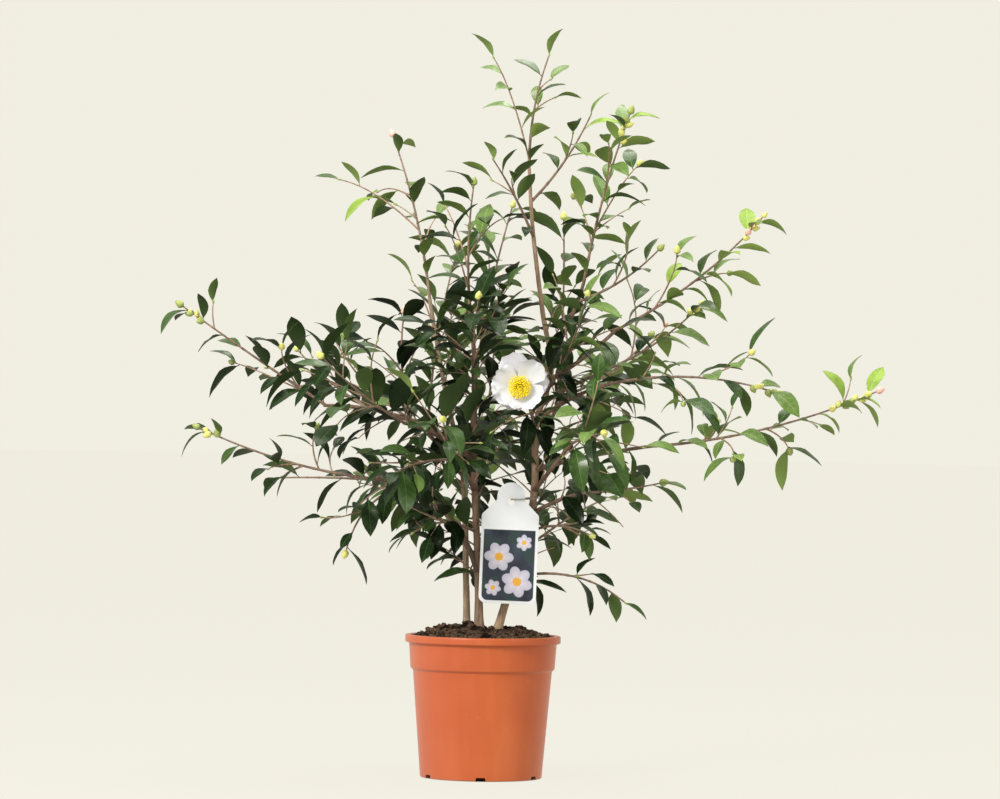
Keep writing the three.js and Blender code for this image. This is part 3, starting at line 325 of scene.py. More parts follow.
def earth(name, dark, light, rough):
    """Damp earth: two tones dealt out by fine and coarse noise, with the fine one as relief."""
    made, place, _ = start_finish(name)
    grain = place.noise(420, 4, 0.65)
    patch = place.noise(90, 2)
    tone = (grain * 0.4 + patch * 0.8).between(0.48, 0.78)
    return end_finish(
        made, tone.mix(dark, light), rough + patch * 0.15, grain, 0.7, Specular_IOR_Level=0.12)


peat = earth("peat", (0.006, 0.003, 0.0015), (0.125, 0.078, 0.048), 0.8)
chip = earth("bark_chip", (0.07, 0.04, 0.022), (0.2, 0.13, 0.075), 0.7)
moss = earth("moss", (0.05, 0.06, 0.014), (0.2, 0.19, 0.07), 0.85)
soil_piece = make_piece("compost", [compost, crumbs(1500, 2, 8.5, 7)], [peat], crease=70)
chip_piece = make_piece("bark_chips", [crumbs(150, 2.5, 7, 8, flat=0.3)], [chip], crease=30)
moss_bits = crumbs(420, 1.2, 3.6, 9, flat=0.6)
moss_x, moss_y, moss_reach = 62, -40, 30
near_moss = np.hypot(moss_bits[:, 0, 0, 0] - moss_x, moss_bits[:, 0, 0, 1] - moss_y) < moss_reach
moss_piece = make_piece("moss_tufts", [moss_bits[near_moss]], [moss], crease=30)
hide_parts("soil")

# ---------------------------------------------------------------------------------------
# Stems: three woody stems rise from the compost, each thicker at its foot. Their bark is
# thin, fissured along the stem, and ringed by the scars of old leaves.


def through(ways, count, ring=False):
    """A centripetal Catmull-Rom curve: between neighbours b and c, with spacings the square
    roots of their distances, b + t1 u + (3c - 3b - 2t1 - t2) u^2 + (2b - 2c + t1 + t2) u^3."""
    ways = np.array(ways, float)
    ends = ([ways[-1]], ways[:2]) if ring else ([2 * ways[0] - ways[1]], [2 * ways[-1] - ways[-2]])
    known = np.concatenate([ends[0], ways, ends[1]])
    spans = len(known) - 3
    place = np.linspace(0, spans, count, endpoint=not ring)
    first = np.minimum(place.astype(int), spans - 1)
    u = (place - first)[:, None]
    a, b, c, d = (known[first + step] for step in range(4))
    before, here, after = (
        np.linalg.norm(far - near, axis=1)[:, None] ** 0.5 for near, far in ((a, b), (b, c), (c, d))
    )
    t1 = here * ((b - a) / before - (c - a) / (before + here) + (c - b) / here)
    t2 = here * ((c - b) / here - (d - b) / (here + after) + (d - c) / after)
    return b + t1 * u + (3 * c - 3 * b - 2 * t1 - t2) * u**2 + (2 * b - 2 * c + t1 + t2) * u**3


def run_of(route):
    """How far each point of a route lies along it."""
    steps = np.linalg.norm(np.diff(route, axis=0), axis=1)
    return np.concatenate([[0], np.cumsum(steps)])


def tube(route, radii, corners, loop=False):
    """Rings square to a route: c(s) + r (cos a side + sin a other), where side is square to
    the route and to the axis that the route runs along least, so the rings don't twist."""
    ahead, behind = np.roll(route, -1, 0), np.roll(route, 1, 0)
    run = ahead - behind if loop else np.gradient(route, axis=0)
    run = unit(run)
    side = unit(np.cross(run, np.eye(3)[np.abs(run).mean(0).argmin()]))
    other = np.cross(run, side)
    angle = np.linspace(0, 2 * np.pi, corners, endpoint=False)[None, :, None]
    radii = np.broadcast_to(np.reshape(radii, (len(route), -1)), (len(route), corners))
    ring = np.cos(angle) * side[:, None] + np.sin(angle) * other[:, None]
    return (route[:, None] + radii[..., None] * ring)[None]


def barked(route, radii, corners, seed, relief, scar_step):
    """A limb with its bark: fissures from noise drawn out along the limb, scaled by relief,
    and a low ring with a bump on one side, exp(-(d/1.6)^2), at each old leaf scar."""
    run = run_of(route)
    angle = np.linspace(0, 2 * np.pi, corners, endpoint=False)[None]
    base = np.reshape(radii, (-1, 1))
    drawn_out = np.tile(run[:, None] / 7, corners)
    local = np.stack([base * np.cos(angle), base * np.sin(angle), drawn_out], -1) + 90
    fissure = 0.5 * smooth_noise(local, 2.2, seed) + 0.35 * smooth_noise(local, 1.0, seed + 1)
    uneven = smooth_noise(local, 7, seed + 2)
    draw = np.random.default_rng(seed)
    scars = np.arange(scar_step * 0.6, run[-1], scar_step)
    scars = scars + draw.uniform(-0.25, 0.25, len(scars)) * scar_step
    turns = np.arange(len(scars)) * 2.4
    ring = np.exp(-(((run[:, None] - scars) / 1.6) ** 2))
    one_side = np.clip(np.cos(angle[..., None] - turns), 0, 1) ** 4
    bump = (ring[:, None] * (0.25 + 0.9 * one_side)).sum(-1)
    return tube(route, base * (1 + 0.06 * uneven) + relief * (fissure + 0.8 * bump), corners)


def bark(name, dark, light, drawn_out, gloss=0.62, shade=0.0):
    """Bark: two browns in streaks along the limb, with pale flecks and fine fissures. With
    some shade, it's darker from 260 mm up, where leaves close over it."""
    made, place, _ = start_finish(name)
    along = place.stretch(1, 1, drawn_out)
    streak = along.noise(330, 4, 0.6)
    patch = place.noise(48, 3)
    flecks = along.noise(900, 2).between(0.6, 0.7) * 0.55
    tone = (streak * 0.75 + patch * 0.4).between(0.4, 0.72)
    pale = [min(1, part * 1.5 + 0.03) for part in light]
    base = flecks.mix(tone.mix(dark, light), pale)
    if shade:
        high = place.axis("Z")
        base = (high.between(0.26, 0.4) * shade).mix(base, dark)
    return end_finish(made, base, gloss + streak * 0.25, streak + flecks * 0.3, 0.7)


foot = 178.3
tan_grey = bark("bark_tan_grey", (0.19, 0.13, 0.085), (0.4, 0.3, 0.2), 0.16, shade=0.75)
brown = bark("bark_brown", (0.12, 0.068, 0.042), (0.36, 0.24, 0.155), 0.1, shade=0.8)
tan = bark("bark_tan", (0.2, 0.125, 0.075), (0.46, 0.32, 0.2), 0.14, shade=0.55)
stems = {  # radius at the foot and the tip, flare of the foot, bark, and where it runs
    "stem_left": (4.2, 2.3, 1.35, tan_grey, [
        (-20, 6, foot), (-22, 8, 240), (-29, 16, 378), (-49, 26, 461), (-73, 42, 586),
    ]),
    "stem_middle": (5.4, 2.2, 1.4, brown, [
        (-5, -4, foot), (-7, -5, 248), (-16, -6, 413), (-15, -14, 493), (-23, -32, 580),
    ]),
    "stem_right": (4.9, 1.9, 1.35, tan, [
        (17, -2, foot), (58, 0, 334), (62, 0, 439), (78, 5, 499), (66, 6, 574), (52, 3, 680),
        (47, 2, 751),
    ]),
}
limbs = {}
for name, (radius, tip_radius, flare, stem_bark, ways) in stems.items():
    route = through(ways, 320)
    limbs[name] = (route, np.linspace(radius, tip_radius, len(route)))
    sunk = np.concatenate([route[:1] - (0, 0, 7), route])
    run = run_of(sunk)
    radii = np.linspace(radius, tip_radius, len(sunk))
    radii = radii * (1 + (flare - 1) * np.exp(-np.clip(run - 5, 0, None) / 13))
    stem = barked(sunk, radii, 44, len(limbs), 0.42, 34)
    stem_piece = make_piece("bark_" + name, [stem], [stem_bark], crease=70)
    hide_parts(name)

# ---------------------------------------------------------------------------------------
# Boughs: younger wood than the stems, one tapering limb each from its stem to the foot of
# its shoots. They grow out of the stem's wood with a small collar.


def bowed(start, tip, bow, steps):
    """A curve whose middle lies off the straight line by bow:
    (1-t)^2 start + 2t(1-t) (middle + 2 bow) + t^2 tip."""
    t = np.linspace(0, 1, steps + 1)[:, None]
    start, tip, bow = (np.array(part, float) for part in (start, tip, bow))
    control = (start + tip) / 2 + 2 * bow
    return (1 - t) ** 2 * start + 2 * t * (1 - t) * control + t**2 * tip


def root_on(limb, at):
    """A place on a limb: at a share of its curve if at is under 1, or else at that height."""
    route = limbs[limb][0]
    share = np.linspace(0, 1, len(route))
    found = at if at < 1 else np.interp(at, route[:, 2], share)
    return np.array([np.interp(found, share, route[:, axis]) for axis in range(3)])


bough_tip = 2.1
boughs = [
    ("bough_left_low", "stem_middle", 252, (-142, -22, 364), (14, 2, 26), 3.9),
    ("bough_left_high", "stem_left", 408, (-200, -4, 452), (0, 3, 13), 3.2),
    ("bough_left_front", "stem_middle", 388, (-100, -78, 432), (-3, -8, 8), 3.2),
    ("bough_right_long", "stem_right", 378, (205, 0, 409), (0, 2, 3), 3.1),
    ("bough_right_upper", "stem_right", 488, (158, -10, 552), (2, 0, -3), 2.9),
    ("bough_right_middle", "stem_right", 438, (150, -52, 484), (0, -6, 6), 2.9),
    ("bough_right_upright", "stem_right", 517, (117, -16, 612), (3, 2, -4), 2.8),
    ("bough_right_low", "stem_right", 322, (122, -24, 351), (0, -2, 4), 2.8),
    ("bough_right_back", "stem_right", 458, (138, 62, 498), (0, 8, 2), 2.8),
    ("bough_back_left", "stem_left", 372, (-96, 104, 438), (-4, 4, 8), 3.2),
    ("bough_back_middle", "stem_middle", 318, (-2, 108, 388), (0, 4, 12), 3.4),
    ("bough_back_right", "stem_right", 404, (96, 118, 470), (3, 6, 6), 3),
    ("bough_front_right", "stem_right", 352, (104, -98, 412), (3, -6, 4), 2.9),
    ("bough_front_middle", "stem_middle", 352, (-42, -98, 398), (-2, -8, 6), 2.9),
]
bough_bark = bark("bark_young", (0.066, 0.036, 0.023), (0.19, 0.115, 0.072), 1)
for seed, (name, stem, height, tip, bow, radius) in enumerate(boughs, 20):
    route = bowed(root_on(stem, height), tip, bow, 80)
    radii = np.linspace(radius, bough_tip, len(route))
    limbs[name] = (route, radii)
    collar = 1 + 0.5 * np.exp(-run_of(route) / 7)
    bough = barked(route, radii * collar, 22, seed, 0.26, 27)
    bough_piece = make_piece("bark_" + name, [bough], [bough_bark], crease=70)
    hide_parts(name)

# ---------------------------------------------------------------------------------------
# Twigs: each shoot grows on from a bough or stem. It forks, carries side twigs a third of a
# turn apart, and those carry finer ones, all inside the space of their own shoot.

# Each row: name, what the shoot stands on and where, its tip and bow, its forks (share, tip),
# then how many twigs, their length, the leaves' length and spacing, the bare share, the buds
# and the seed.
shoots = [
    ("shoot_upright_left", "stem_left", 584, (-122, 82, 788), (6, 0, 2),
     [(0.42, (-186, 52, 732)), (0.3, (-66, 92, 690)), (0.62, (-140, 124, 722))],
     (1, 46, 47, 30, 0.04, 1, 11)),
    ("shoot_upright_middle", "stem_middle", 578, (-20, -70, 722), (-4, 0, 0),
     [(0.1, (-52, -112, 668)), (0.3, (-56, -20, 700)), (0.4, (14, -96, 680))],
     (2, 50, 52, 28, 0.02, 1, 23)),
    ("shoot_inner", "stem_middle", 478, (27, 30, 700), (-6, 4, -4),
     [(0.45, (-2, 74, 650)), (0.3, (40, -14, 628))], (2, 54, 58, 28, 0.12, 1, 31)),
    ("shoot_top", "stem_right", 749, (69, 12, 886), (-6, 0, 2),
     [(0.06, (2, -40, 878)), (0.5, (98, 50, 840))], (1, 34, 41, 31, 0.05, 0, 41)),
    ("shoot_top_right", "stem_right", 706, (122, 58, 816), (4, 0, -4),
     [(0.5, (100, 4, 790))], (1, 34, 45, 28, 0.1, 0, 43)),
    ("shoot_top_left", "stem_right", 662, (4, -62, 752), (2, 0, 2),
     [(0.5, (26, -64, 730))], (1, 34, 45, 28, 0.1, 0, 47)),
    ("shoot_right_upright", "bough_right_upright", 0.97, (168, -58, 812), (-4, 0, 2),
     [(0.3, (180, -10, 752)), (0.22, (104, 8, 712)), (0.55, (142, -104, 772))],
     (2, 46, 46, 29, 0.05, 3, 53)),
    ("shoot_right_shoulder", "bough_right_upright", 0.74, (206, -34, 648), (4, 0, -6),
     [(0.4, (166, -84, 664))], (1, 38, 45, 28, 0.1, 1, 59)),
    ("shoot_right_upper", "bough_right_upper", 0.97, (332, -46, 690), (8, 0, -8),
     [(0.5, (292, -12, 622)), (0.24, (228, -54, 644))], (1, 40, 47, 33, 0.08, 3, 61)),
    ("shoot_right_back", "bough_right_back", 0.97, (262, 74, 584), (6, 4, -6),
     [(0.4, (222, 130, 560)), (0.3, (172, 60, 612))], (2, 48, 52, 33, 0.05, 2, 67)),
    ("shoot_right_middle", "bough_right_middle", 0.97, (352, -64, 476), (0, -10, 14),
     [(0.55, (316, -104, 522)), (0.3, (236, -120, 462)), (0.2, (206, -40, 546))],
     (2, 46, 51, 32, 0.05, 3, 71)),
    ("shoot_right_long", "bough_right_long", 0.98, (476, -20, 480), (2, 2, -12),
     [(0.22, (286, 46, 440)), (0.3, (300, -58, 396)), (0.5, (372, 20, 408))],
     (4, 40, 45, 33, 0.02, 4, 73)),
    ("shoot_right_low", "bough_right_low", 0.97, (212, -44, 364), (0, -3, -2),
     [(0.35, (188, 4, 396)), (0.3, (176, -84, 340))], (1, 42, 52, 30, 0.02, 1, 79)),
    ("shoot_right_low_front", "stem_right", 300, (128, -62, 300), (0, -4, 10),
     [(0.5, (122, -22, 316))], (1, 34, 45, 29, 0.3, 1, 83)),
    ("shoot_right_hanging", "stem_right", 246, (172, -28, 218), (6, 0, 16),
     [(0.5, (148, -4, 256))], (1, 34, 47, 30, 0.42, 0, 89)),
    ("shoot_left_upper", "bough_left_high", 0.98, (-372, -40, 570), (4, 0, -4),
     [(0.12, (-312, 22, 503)), (0.2, (-250, -58, 520))], (2, 42, 47, 36, 0.02, 3, 97)),
    ("shoot_left_upper_back", "bough_left_high", 0.66, (-236, 82, 520), (0, 6, -6),
     [(0.4, (-176, 96, 536)), (0.5, (-246, 116, 470))], (2, 46, 49, 33, 0.05, 1, 101)),
    ("shoot_left_inner", "bough_left_high", 0.36, (-104, 18, 566), (-6, 2, 0),
     [(0.45, (-146, -26, 530)), (0.35, (-78, 62, 540))], (2, 44, 54, 32, 0.1, 1, 103)),
    ("shoot_left_rosette", "bough_left_front", 0.97, (-196, -168, 508), (0, -8, -6),
     [(0.45, (-240, -108, 500)), (0.4, (-132, -156, 528)), (0.35, (-176, -176, 430))],
     (3, 50, 60, 30, 0.02, 1, 107)),
    ("shoot_left_low", "bough_left_low", 0.98, (-348, -58, 422), (2, 0, -10),
     [(0.3, (-206, -66, 424)), (0.42, (-262, -84, 374))], (1, 40, 47, 34, 0.04, 2, 109)),
    ("shoot_left_low_back", "bough_left_low", 0.86, (-256, 40, 362), (0, 6, 2),
     [(0.5, (-190, 66, 398))], (1, 42, 47, 32, 0.08, 0, 113)),
    ("shoot_left_hanging", "bough_left_low", 0.74, (-168, -48, 276), (-10, -2, 14),
     [(0.5, (-196, -62, 316))], (1, 34, 45, 29, 0.18, 1, 127)),
    ("shoot_left_front_low", "stem_middle", 300, (-86, -84, 300), (-4, -6, 12),
     [(0.5, (-104, -52, 338)), (0.5, (-62, -92, 336))], (1, 36, 52, 30, 0.16, 0, 131)),
    ("shoot_back_left", "bough_back_left", 0.97, (-196, 250, 536), (-6, 6, -8),
     [(0.4, (-222, 176, 496)), (0.45, (-108, 246, 500))], (2, 50, 54, 35, 0.04, 1, 137)),
    ("shoot_back_left_high", "bough_back_left", 0.6, (-40, 166, 656), (-8, 10, -4),
     [(0.4, (-18, 142, 584)), (0.5, (-96, 150, 610))], (1, 48, 56, 34, 0.08, 1, 139)),
    ("shoot_back_left_low", "stem_left", 300, (-116, 196, 352), (-4, 4, 10),
     [(0.5, (-156, 124, 356)), (0.6, (-52, 178, 318))], (1, 44, 54, 33, 0.14, 0, 149)),
    ("shoot_back_middle", "bough_back_middle", 0.97, (4, 330, 448), (0, 4, -6),
     [(0.4, (-72, 262, 432)), (0.45, (72, 262, 410))], (2, 48, 54, 35, 0.04, 2, 151)),
    ("shoot_back_middle_high", "bough_back_middle", 0.72, (14, 190, 616), (0, 14, -6),
     [(0.45, (44, 232, 548)), (0.55, (-22, 226, 560))], (1, 48, 56, 34, 0.1, 1, 157)),
    ("shoot_back_right", "bough_back_right", 0.97, (206, 244, 548), (4, 4, -8),
     [(0.4, (118, 250, 510)), (0.4, (210, 178, 488))], (2, 50, 54, 35, 0.04, 1, 163)),
    ("shoot_back_right_high", "bough_back_right", 0.62, (92, 122, 690), (4, 10, -4),
     [(0.45, (134, 116, 618)), (0.5, (62, 160, 618))], (1, 46, 54, 34, 0.1, 1, 167)),
    ("shoot_back_right_low", "stem_right", 276, (150, 176, 340), (4, 2, 8),
     [(0.5, (176, 104, 356)), (0.55, (78, 176, 330))], (1, 44, 54, 33, 0.16, 0, 173)),
    ("shoot_front_left", "bough_front_middle", 0.7, (-104, -214, 374), (-6, -4, 4),
     [(0.5, (-136, -146, 384))], (1, 42, 56, 31, 0.08, 0, 179)),
    ("shoot_front_middle", "bough_front_middle", 0.97, (-50, -262, 436), (0, -4, -6),
     [(0.4, (-8, -212, 410)), (0.4, (-86, -200, 468))], (2, 44, 56, 31, 0.04, 1, 181)),
    ("shoot_front_high", "stem_middle", 452, (-12, -128, 582), (-4, -12, -2),
     [(0.5, (-70, -104, 550)), (0.45, (22, -84, 596))], (2, 44, 56, 29, 0.1, 1, 191)),
    ("shoot_front_right", "bough_front_right", 0.97, (138, -246, 424), (0, -4, 2),
     [(0.4, (186, -180, 408)), (0.4, (92, -214, 396)), (0.3, (132, -176, 484))],
     (2, 46, 54, 31, 0.04, 1, 193)),
    ("shoot_front_right_high", "stem_right", 470, (118, -130, 588), (4, -10, -6),
     [(0.5, (78, -104, 612)), (0.5, (160, -98, 552))], (1, 42, 54, 29, 0.14, 1, 197)),
    ("shoot_bloom", "stem_right", 420, (38.5, -107, 486), (4, -6, -6),
     [(0.5, (8, -84, 424)), (0.5, (74, -88, 446))], (1, 30, 52, 29, 0.2, 1, 199)),
    ("shoot_inner_low", "stem_middle", 236, (8, 84, 322), (4, 4, 4),
     [(0.4, (-50, 54, 300)), (0.4, (52, 44, 290)), (0.6, (-34, 88, 348))],
     (1, 38, 58, 26, 0.2, 0, 211)),
]
twig_spread, finer_spread, inner_spread = (math.radians(part) for part in (52, 44, 62))
leaf_spread, twig_lift, inner_lift = math.radians(50), 0.22, 0.15
space, limb_clear, twig_gap, leaf_gap, lowest_leaf = 1.5, 1.2, 2.5, 4.6, 186
finer_length, finer_step, inner_length, inner_step, stem_inner_step = 32, 30, 38, 30, 17
inner_leaf, close_by = 52, 110
clearings = np.array([  # kept free: the tag and the bloom, each with the view of it
    [(-14, -400, 208), (72, -22, 366)], [(0, -400, 446), (78, -96, 526)],
])


def seeded(seed):
    """A run of numbers from 0 to 1: state = 1664525 state + 1013904223, modulo 2^32."""
    state = seed * 7919
    while True:
        state = (state * 1664525 + 1013904223) & 0xFFFFFFFF
        yield state / 4294967296


def along(route, share):
    """The place at a share of a route's length, and the way the route runs there."""
    run = run_of(route)
    index = min(max(np.searchsorted(run, share * run[-1]), 1), len(run) - 1)
    way = (route[index] - route[index - 1]) / (run[index] - run[index - 1])
    return route[index - 1] + way * (share * run[-1] - run[index - 1]), way


def leaning(way, angle, turn):
    """A heading off a way by an angle, at a turn round it: way cos(angle) +
    sin(angle) (level cos(turn) + other sin(turn)), where level and other are square to it."""
    level = np.array([-way[1], way[0], 0.0])
    if abs(way[2]) > 0.97:
        level = np.array([1.0, 0, 0]) - way * way[0]
    level = unit(level)
    out = level * math.cos(turn) + np.cross(way, level) * math.sin(turn)
    return way * math.cos(angle) + math.sin(angle) * out


def stretches(routes):
    """The straight stretches of some routes, as their starts and ends."""
    starts = np.concatenate([route[:-1] for route in routes])
    return starts, np.concatenate([route[1:] for route in routes])


def distances(points, starts, ends):
    """Distance from each point to each stretch: to start + clip(share) (end - start)."""
    way = ends - starts
    share = ((points[:, None] - starts) * way).sum(-1) / (way**2).sum(-1)
    nearest = starts + np.clip(share, 0, 1)[..., None] * way
    return np.linalg.norm(points[:, None] - nearest, axis=-1)


def shoot_routes(on, at, tip, bow, forks):
    """The route of a shoot and of its forks, which are also the middle of its space."""
    main = bowed(root_on(on, at), tip, bow, 12)
    routes = [main]
    for share, fork_tip in forks:
        start, way = along(main, share)
        routes.append(bowed(start, fork_tip, way * 0.1 * np.linalg.norm(fork_tip - start), 8))
    return routes


guides = [shoot_routes(*row[1:6]) for row in shoots]
guide_starts, guide_ends = stretches([route for routes in guides for route in routes])
guide_owner = np.repeat(
    np.arange(len(guides)), [sum(len(route) - 1 for route in routes) for routes in guides])
thinned = [route[::20] for route, _ in limbs.values()]
limb_starts, limb_ends = stretches(thinned)
limb_limit = np.repeat(
    [radii[len(radii) // 6] + limb_clear for _, radii in limbs.values()],
    [len(route) - 1 for route in thinned])


def inside_oval(point, x, z, half_wide, half_high):
    """Whether a place lies in an upright oval about (x, z), at any depth."""
    return ((point[0] - x) / half_wide) ** 2 + ((point[2] - z) / half_high) ** 2 < 1


def dense(point):
    """Whether a place is in the close, dark middle of the crown."""
    return inside_oval(point, 12, 395, 135, 175) and abs(point[1]) < 150


def open_place(points):
    """Whether all points are out of the clearings and above the pot."""
    if points[:, 2].min() < lowest_leaf:
        return False
    return not any(((points > low) & (points < high)).all(1).any() for low, high in clearings)


def free(points, number):
    """Whether all points are in an open place, clear of stems and boughs, and nearer to their
    own shoot than to any other. Inside the crown, number is None and the last is left out."""
    if not open_place(points):
        return False
    if (distances(points, limb_starts, limb_ends) <= limb_limit).any():
        return False
    if number is None:
        return True
    away = distances(points, guide_starts, guide_ends)
    own = away[:, guide_owner == number].min(1)
    return (away[:, guide_owner != number].min(1) >= own + 2 * space).all()


def face_turn(index, draw):
    """The face of a limb for its next twig or leaf: a third of a turn on, give or take 14
    degrees."""
    return (2 * index + 1) * math.pi / 3 + (next(draw) - 0.5) * math.radians(28)


def twig_from(start, way, spread, turn, reach, lift):
    """A twig that leaves a limb by an angle, at a turn round it, and lifts up to the light."""
    heading = unit(leaning(way, spread, turn) + (0, 0, lift))
    return bowed(start, start + heading * reach, way * 0.05 * reach, 5)


def crosses(twig, leafy_points):
    """Whether a twig, past its foot, comes too near to the leaves that are there."""
    gap = np.linalg.norm(twig[2:, None] - leafy_points, axis=-1)
    return gap.min() < twig_gap


def side_twigs(rod, count, length, spread, number, draw, skip=()):
    """Twigs in even steps along a rod, a third of a turn apart, that turn up to the light and
    keep off the leaf points to skip."""
    grown = []
    first = int(next(draw) * 3)
    for index in range(count):
        share = 0.14 + 0.78 * (index + 0.5 + 0.5 * (next(draw) - 0.5)) / count
        reach = length * (1 + 0.5 * (next(draw) - 0.5)) * (1.1 - 0.4 * share)
        start, way = along(rod, share)
        twig = twig_from(start, way, spread, face_turn(first + index, draw), reach, twig_lift)
        if free(twig[1:], number) and not (len(skip) and crosses(twig, skip)):
            grown.append(twig)
    return grown


def blade_frame(heading, roll):
    """Two directions square to a blade's length: up, turned by its roll, and to its side."""
    up = np.array([0, 0, 1.0]) - heading * heading[2]
    if np.linalg.norm(up) < 0.2:
        up = np.array([0, -1.0, 0]) + heading * heading[1]
    up = unit(up)
    up = up * math.cos(roll) + np.cross(heading, up) * math.sin(roll)
    return up, np.cross(heading, up)


blade_rows = np.repeat(0.2 + 0.8 * np.arange(8) / 7, 5)
blade_outs = np.tile(np.linspace(-1, 1, 5), 8)
blade_half = 0.92 * np.minimum(1, np.minimum(blade_rows / 0.34, (1 - blade_rows) / 0.34 + 0.02))


def blade_points(place, heading, up, side, reach):
    """Where a blade lies, sampled over its outline."""
    return place + reach * (
        blade_rows[:, None] * heading
        + (blade_outs * blade_half * 0.235)[:, None] * side
        + (np.abs(blade_outs) * 0.055)[:, None] * up
    )


close_parts = (  # middle x and z, half width and half height of each
    (20, 400, 145, 200), (48, 610, 75, 80), (190, 515, 65, 65), (235, 430, 80, 50),
    (-175, 495, 80, 60),
)


def wanted(point, open_share, draw):
    """Whether a leaf may grow here: always in the close parts of the crown, but only a share of
    the leaves further out, where light comes through, and fewest low on the right."""
    low_edge = point[0] > 50 and point[2] < 370
    if not low_edge and any(inside_oval(point, *part) for part in close_parts):
        return True
    return next(draw) < open_share * (0.6 if low_edge else 0.85 if point[0] < -60 else 1)


def leaves_along(rods, leaf, step, bare, buds, number, draw, taken, size, first_rod=0, forks=0):
    """Leaves in even steps along each rod, a third of a turn apart. One that leaves the space,
    or comes near a twig or another leaf, is tried on the rod's other faces, then left out.
    The first rods are forks, which keep all their leaves, and others keep a share."""
    starts, ends = stretches(rods)
    found = []
    for rod_number, rod in enumerate(rods[first_rod:], first_rod):
        open_from = bare if rod_number == 0 else 0.12
        length = run_of(rod)[-1]
        count = max(1, round(length * (1 - open_from) / step))
        last = count - 1 if rod_number < buds else count
        first = int(next(draw) * 3)
        shares = [open_from + (1 - open_from) * index / count for index in range(last + 1)]
        if rod_number < buds:
            shares += [0.91, 0.96]
        for index, share in enumerate(shares):
            tip = share == 1
            for attempt in range(3):
                turn = face_turn(first + index + attempt, draw)
                spread = 0.15 if tip else leaf_spread * (0.8 + 0.4 * next(draw))
                reach = leaf * size * (0.78 + 0.5 * next(draw)) * (0.9 if tip else 1)
                roll = (next(draw) - 0.5) * 1.1
                place, way = along(rod, share)
                heading = unit(leaning(way, spread, turn) - (0, 0, 0.05 if tip else 0.22))
                up, side = blade_frame(heading, roll)
                samples = blade_points(place, heading, up, side, reach)
                if not free(samples, number):
                    continue
                if distances(samples, starts, ends).min() < 0.045 * reach:
                    continue
                if taken:
                    gap = np.linalg.norm(samples[:, None] - np.concatenate(taken), axis=-1)
                    if gap.min() < leaf_gap:
                        continue
                if not wanted(samples.mean(0), 1 if rod_number < forks else 0.7, draw):
                    break
                taken.append(samples)
                found.append((place, heading, up, side, reach, number, rod_number, share, tip))
                break
    return found


twigs, leaves, bud_tips, all_taken = [], [], [], []
for number, (name, on, at, tip, bow, forks, growth) in enumerate(shoots):
    twig_count, twig_length, leaf, step, bare, buds, seed = growth
    draw = seeded(seed)
    own = guides[number]
    side = side_twigs(own[0], twig_count, twig_length, twig_spread, number, draw)
    rods = own + side
    taken = []
    first_leaf = len(leaves)
    leaves += leaves_along(
        rods, leaf, 0.8 * step, bare, buds, number, draw, taken, size=0.92, forks=len(own))
    finer = []
    for rod in rods:
        if dense(rod.mean(0)):
            shaped = np.concatenate(taken) if taken else ()
            count = round(run_of(rod)[-1] / finer_step)
            finer += side_twigs(rod, count, finer_length, finer_spread, number, draw, shaped)
    everything = rods + finer
    leaves += leaves_along(
        everything, leaf, 19, 0.1, len(rods), number, draw, taken, size=0.82, first_rod=len(rods))
    leafy = {}
    for row in leaves[first_leaf:]:
        leafy[row[6]] = max(row[7], leafy.get(row[6], 0))
    inner_rods = [rod for rod in rods if dense(rod.mean(0))]
    if inner_rods:
        leaves += leaves_along(
            inner_rods, leaf, 17, 0.12, len(rods), number, draw, taken, size=0.8)
    for rod_number, rod in enumerate(everything):  # cut back to the last leaf
        is_twig, inner = rod_number >= len(own), dense(rod.mean(0))
        if is_twig and rod_number not in leafy and not inner:
            continue
        last = leafy.get(rod_number, 0) if is_twig else 1
        if buds <= rod_number and not is_twig and not inner:
            last = max(leafy.get(rod_number, 0), 0.3)
        if 0 < last < 0.95:
            rod = np.array([along(rod, part)[0] for part in np.linspace(0.001, last, 7)])
        twigs.append((rod, min(rod_number, 1) + is_twig + (rod_number >= len(rods))))
        if rod_number < len(rods):
            bud_tips.append((rod[-1], rod[-1] - rod[-2], rod_number < buds))
        for index in range(1, 2 * buds if rod_number == 0 and buds > 1 else 0):
            at_bud, way = along(rod, 1 - 0.028 * index - 0.03 * next(draw))
            bud_tips.append((at_bud, leaning(way, 0.9, face_turn(index, draw)), True))
    all_taken += taken

# Twigs of the crown's inside: short ones, straight from the stems and boughs.
draw = seeded(77)
shaped = np.concatenate(all_taken)
for limb, (route, radii) in limbs.items():
    count = round(run_of(route)[-1] / (stem_inner_step if limb in stems else inner_step))
    for index in range(count):
        start, way = along(route, (index + next(draw)) / count)
        reach = inner_length + 34 * next(draw)
        twig = twig_from(start, way, inner_spread, face_turn(index, draw), reach, inner_lift)
        if not dense(start) or not open_place(twig[2:]) or crosses(twig, shaped):
            continue
        near = shaped[np.linalg.norm(shaped - twig[3], axis=1) < close_by]
        taken = [near] if len(near) else []
        found = leaves_along([twig], inner_leaf, 16, 0.2, 0, None, draw, taken, size=0.95)
        owner = guide_owner[distances(twig[-1:], guide_starts, guide_ends).argmin()]
        leaves += [row[:5] + (owner,) + row[6:] for row in found]
        shaped = np.concatenate([shaped] + taken[1 if len(near) else 0:])
        twigs.append((twig, 2))

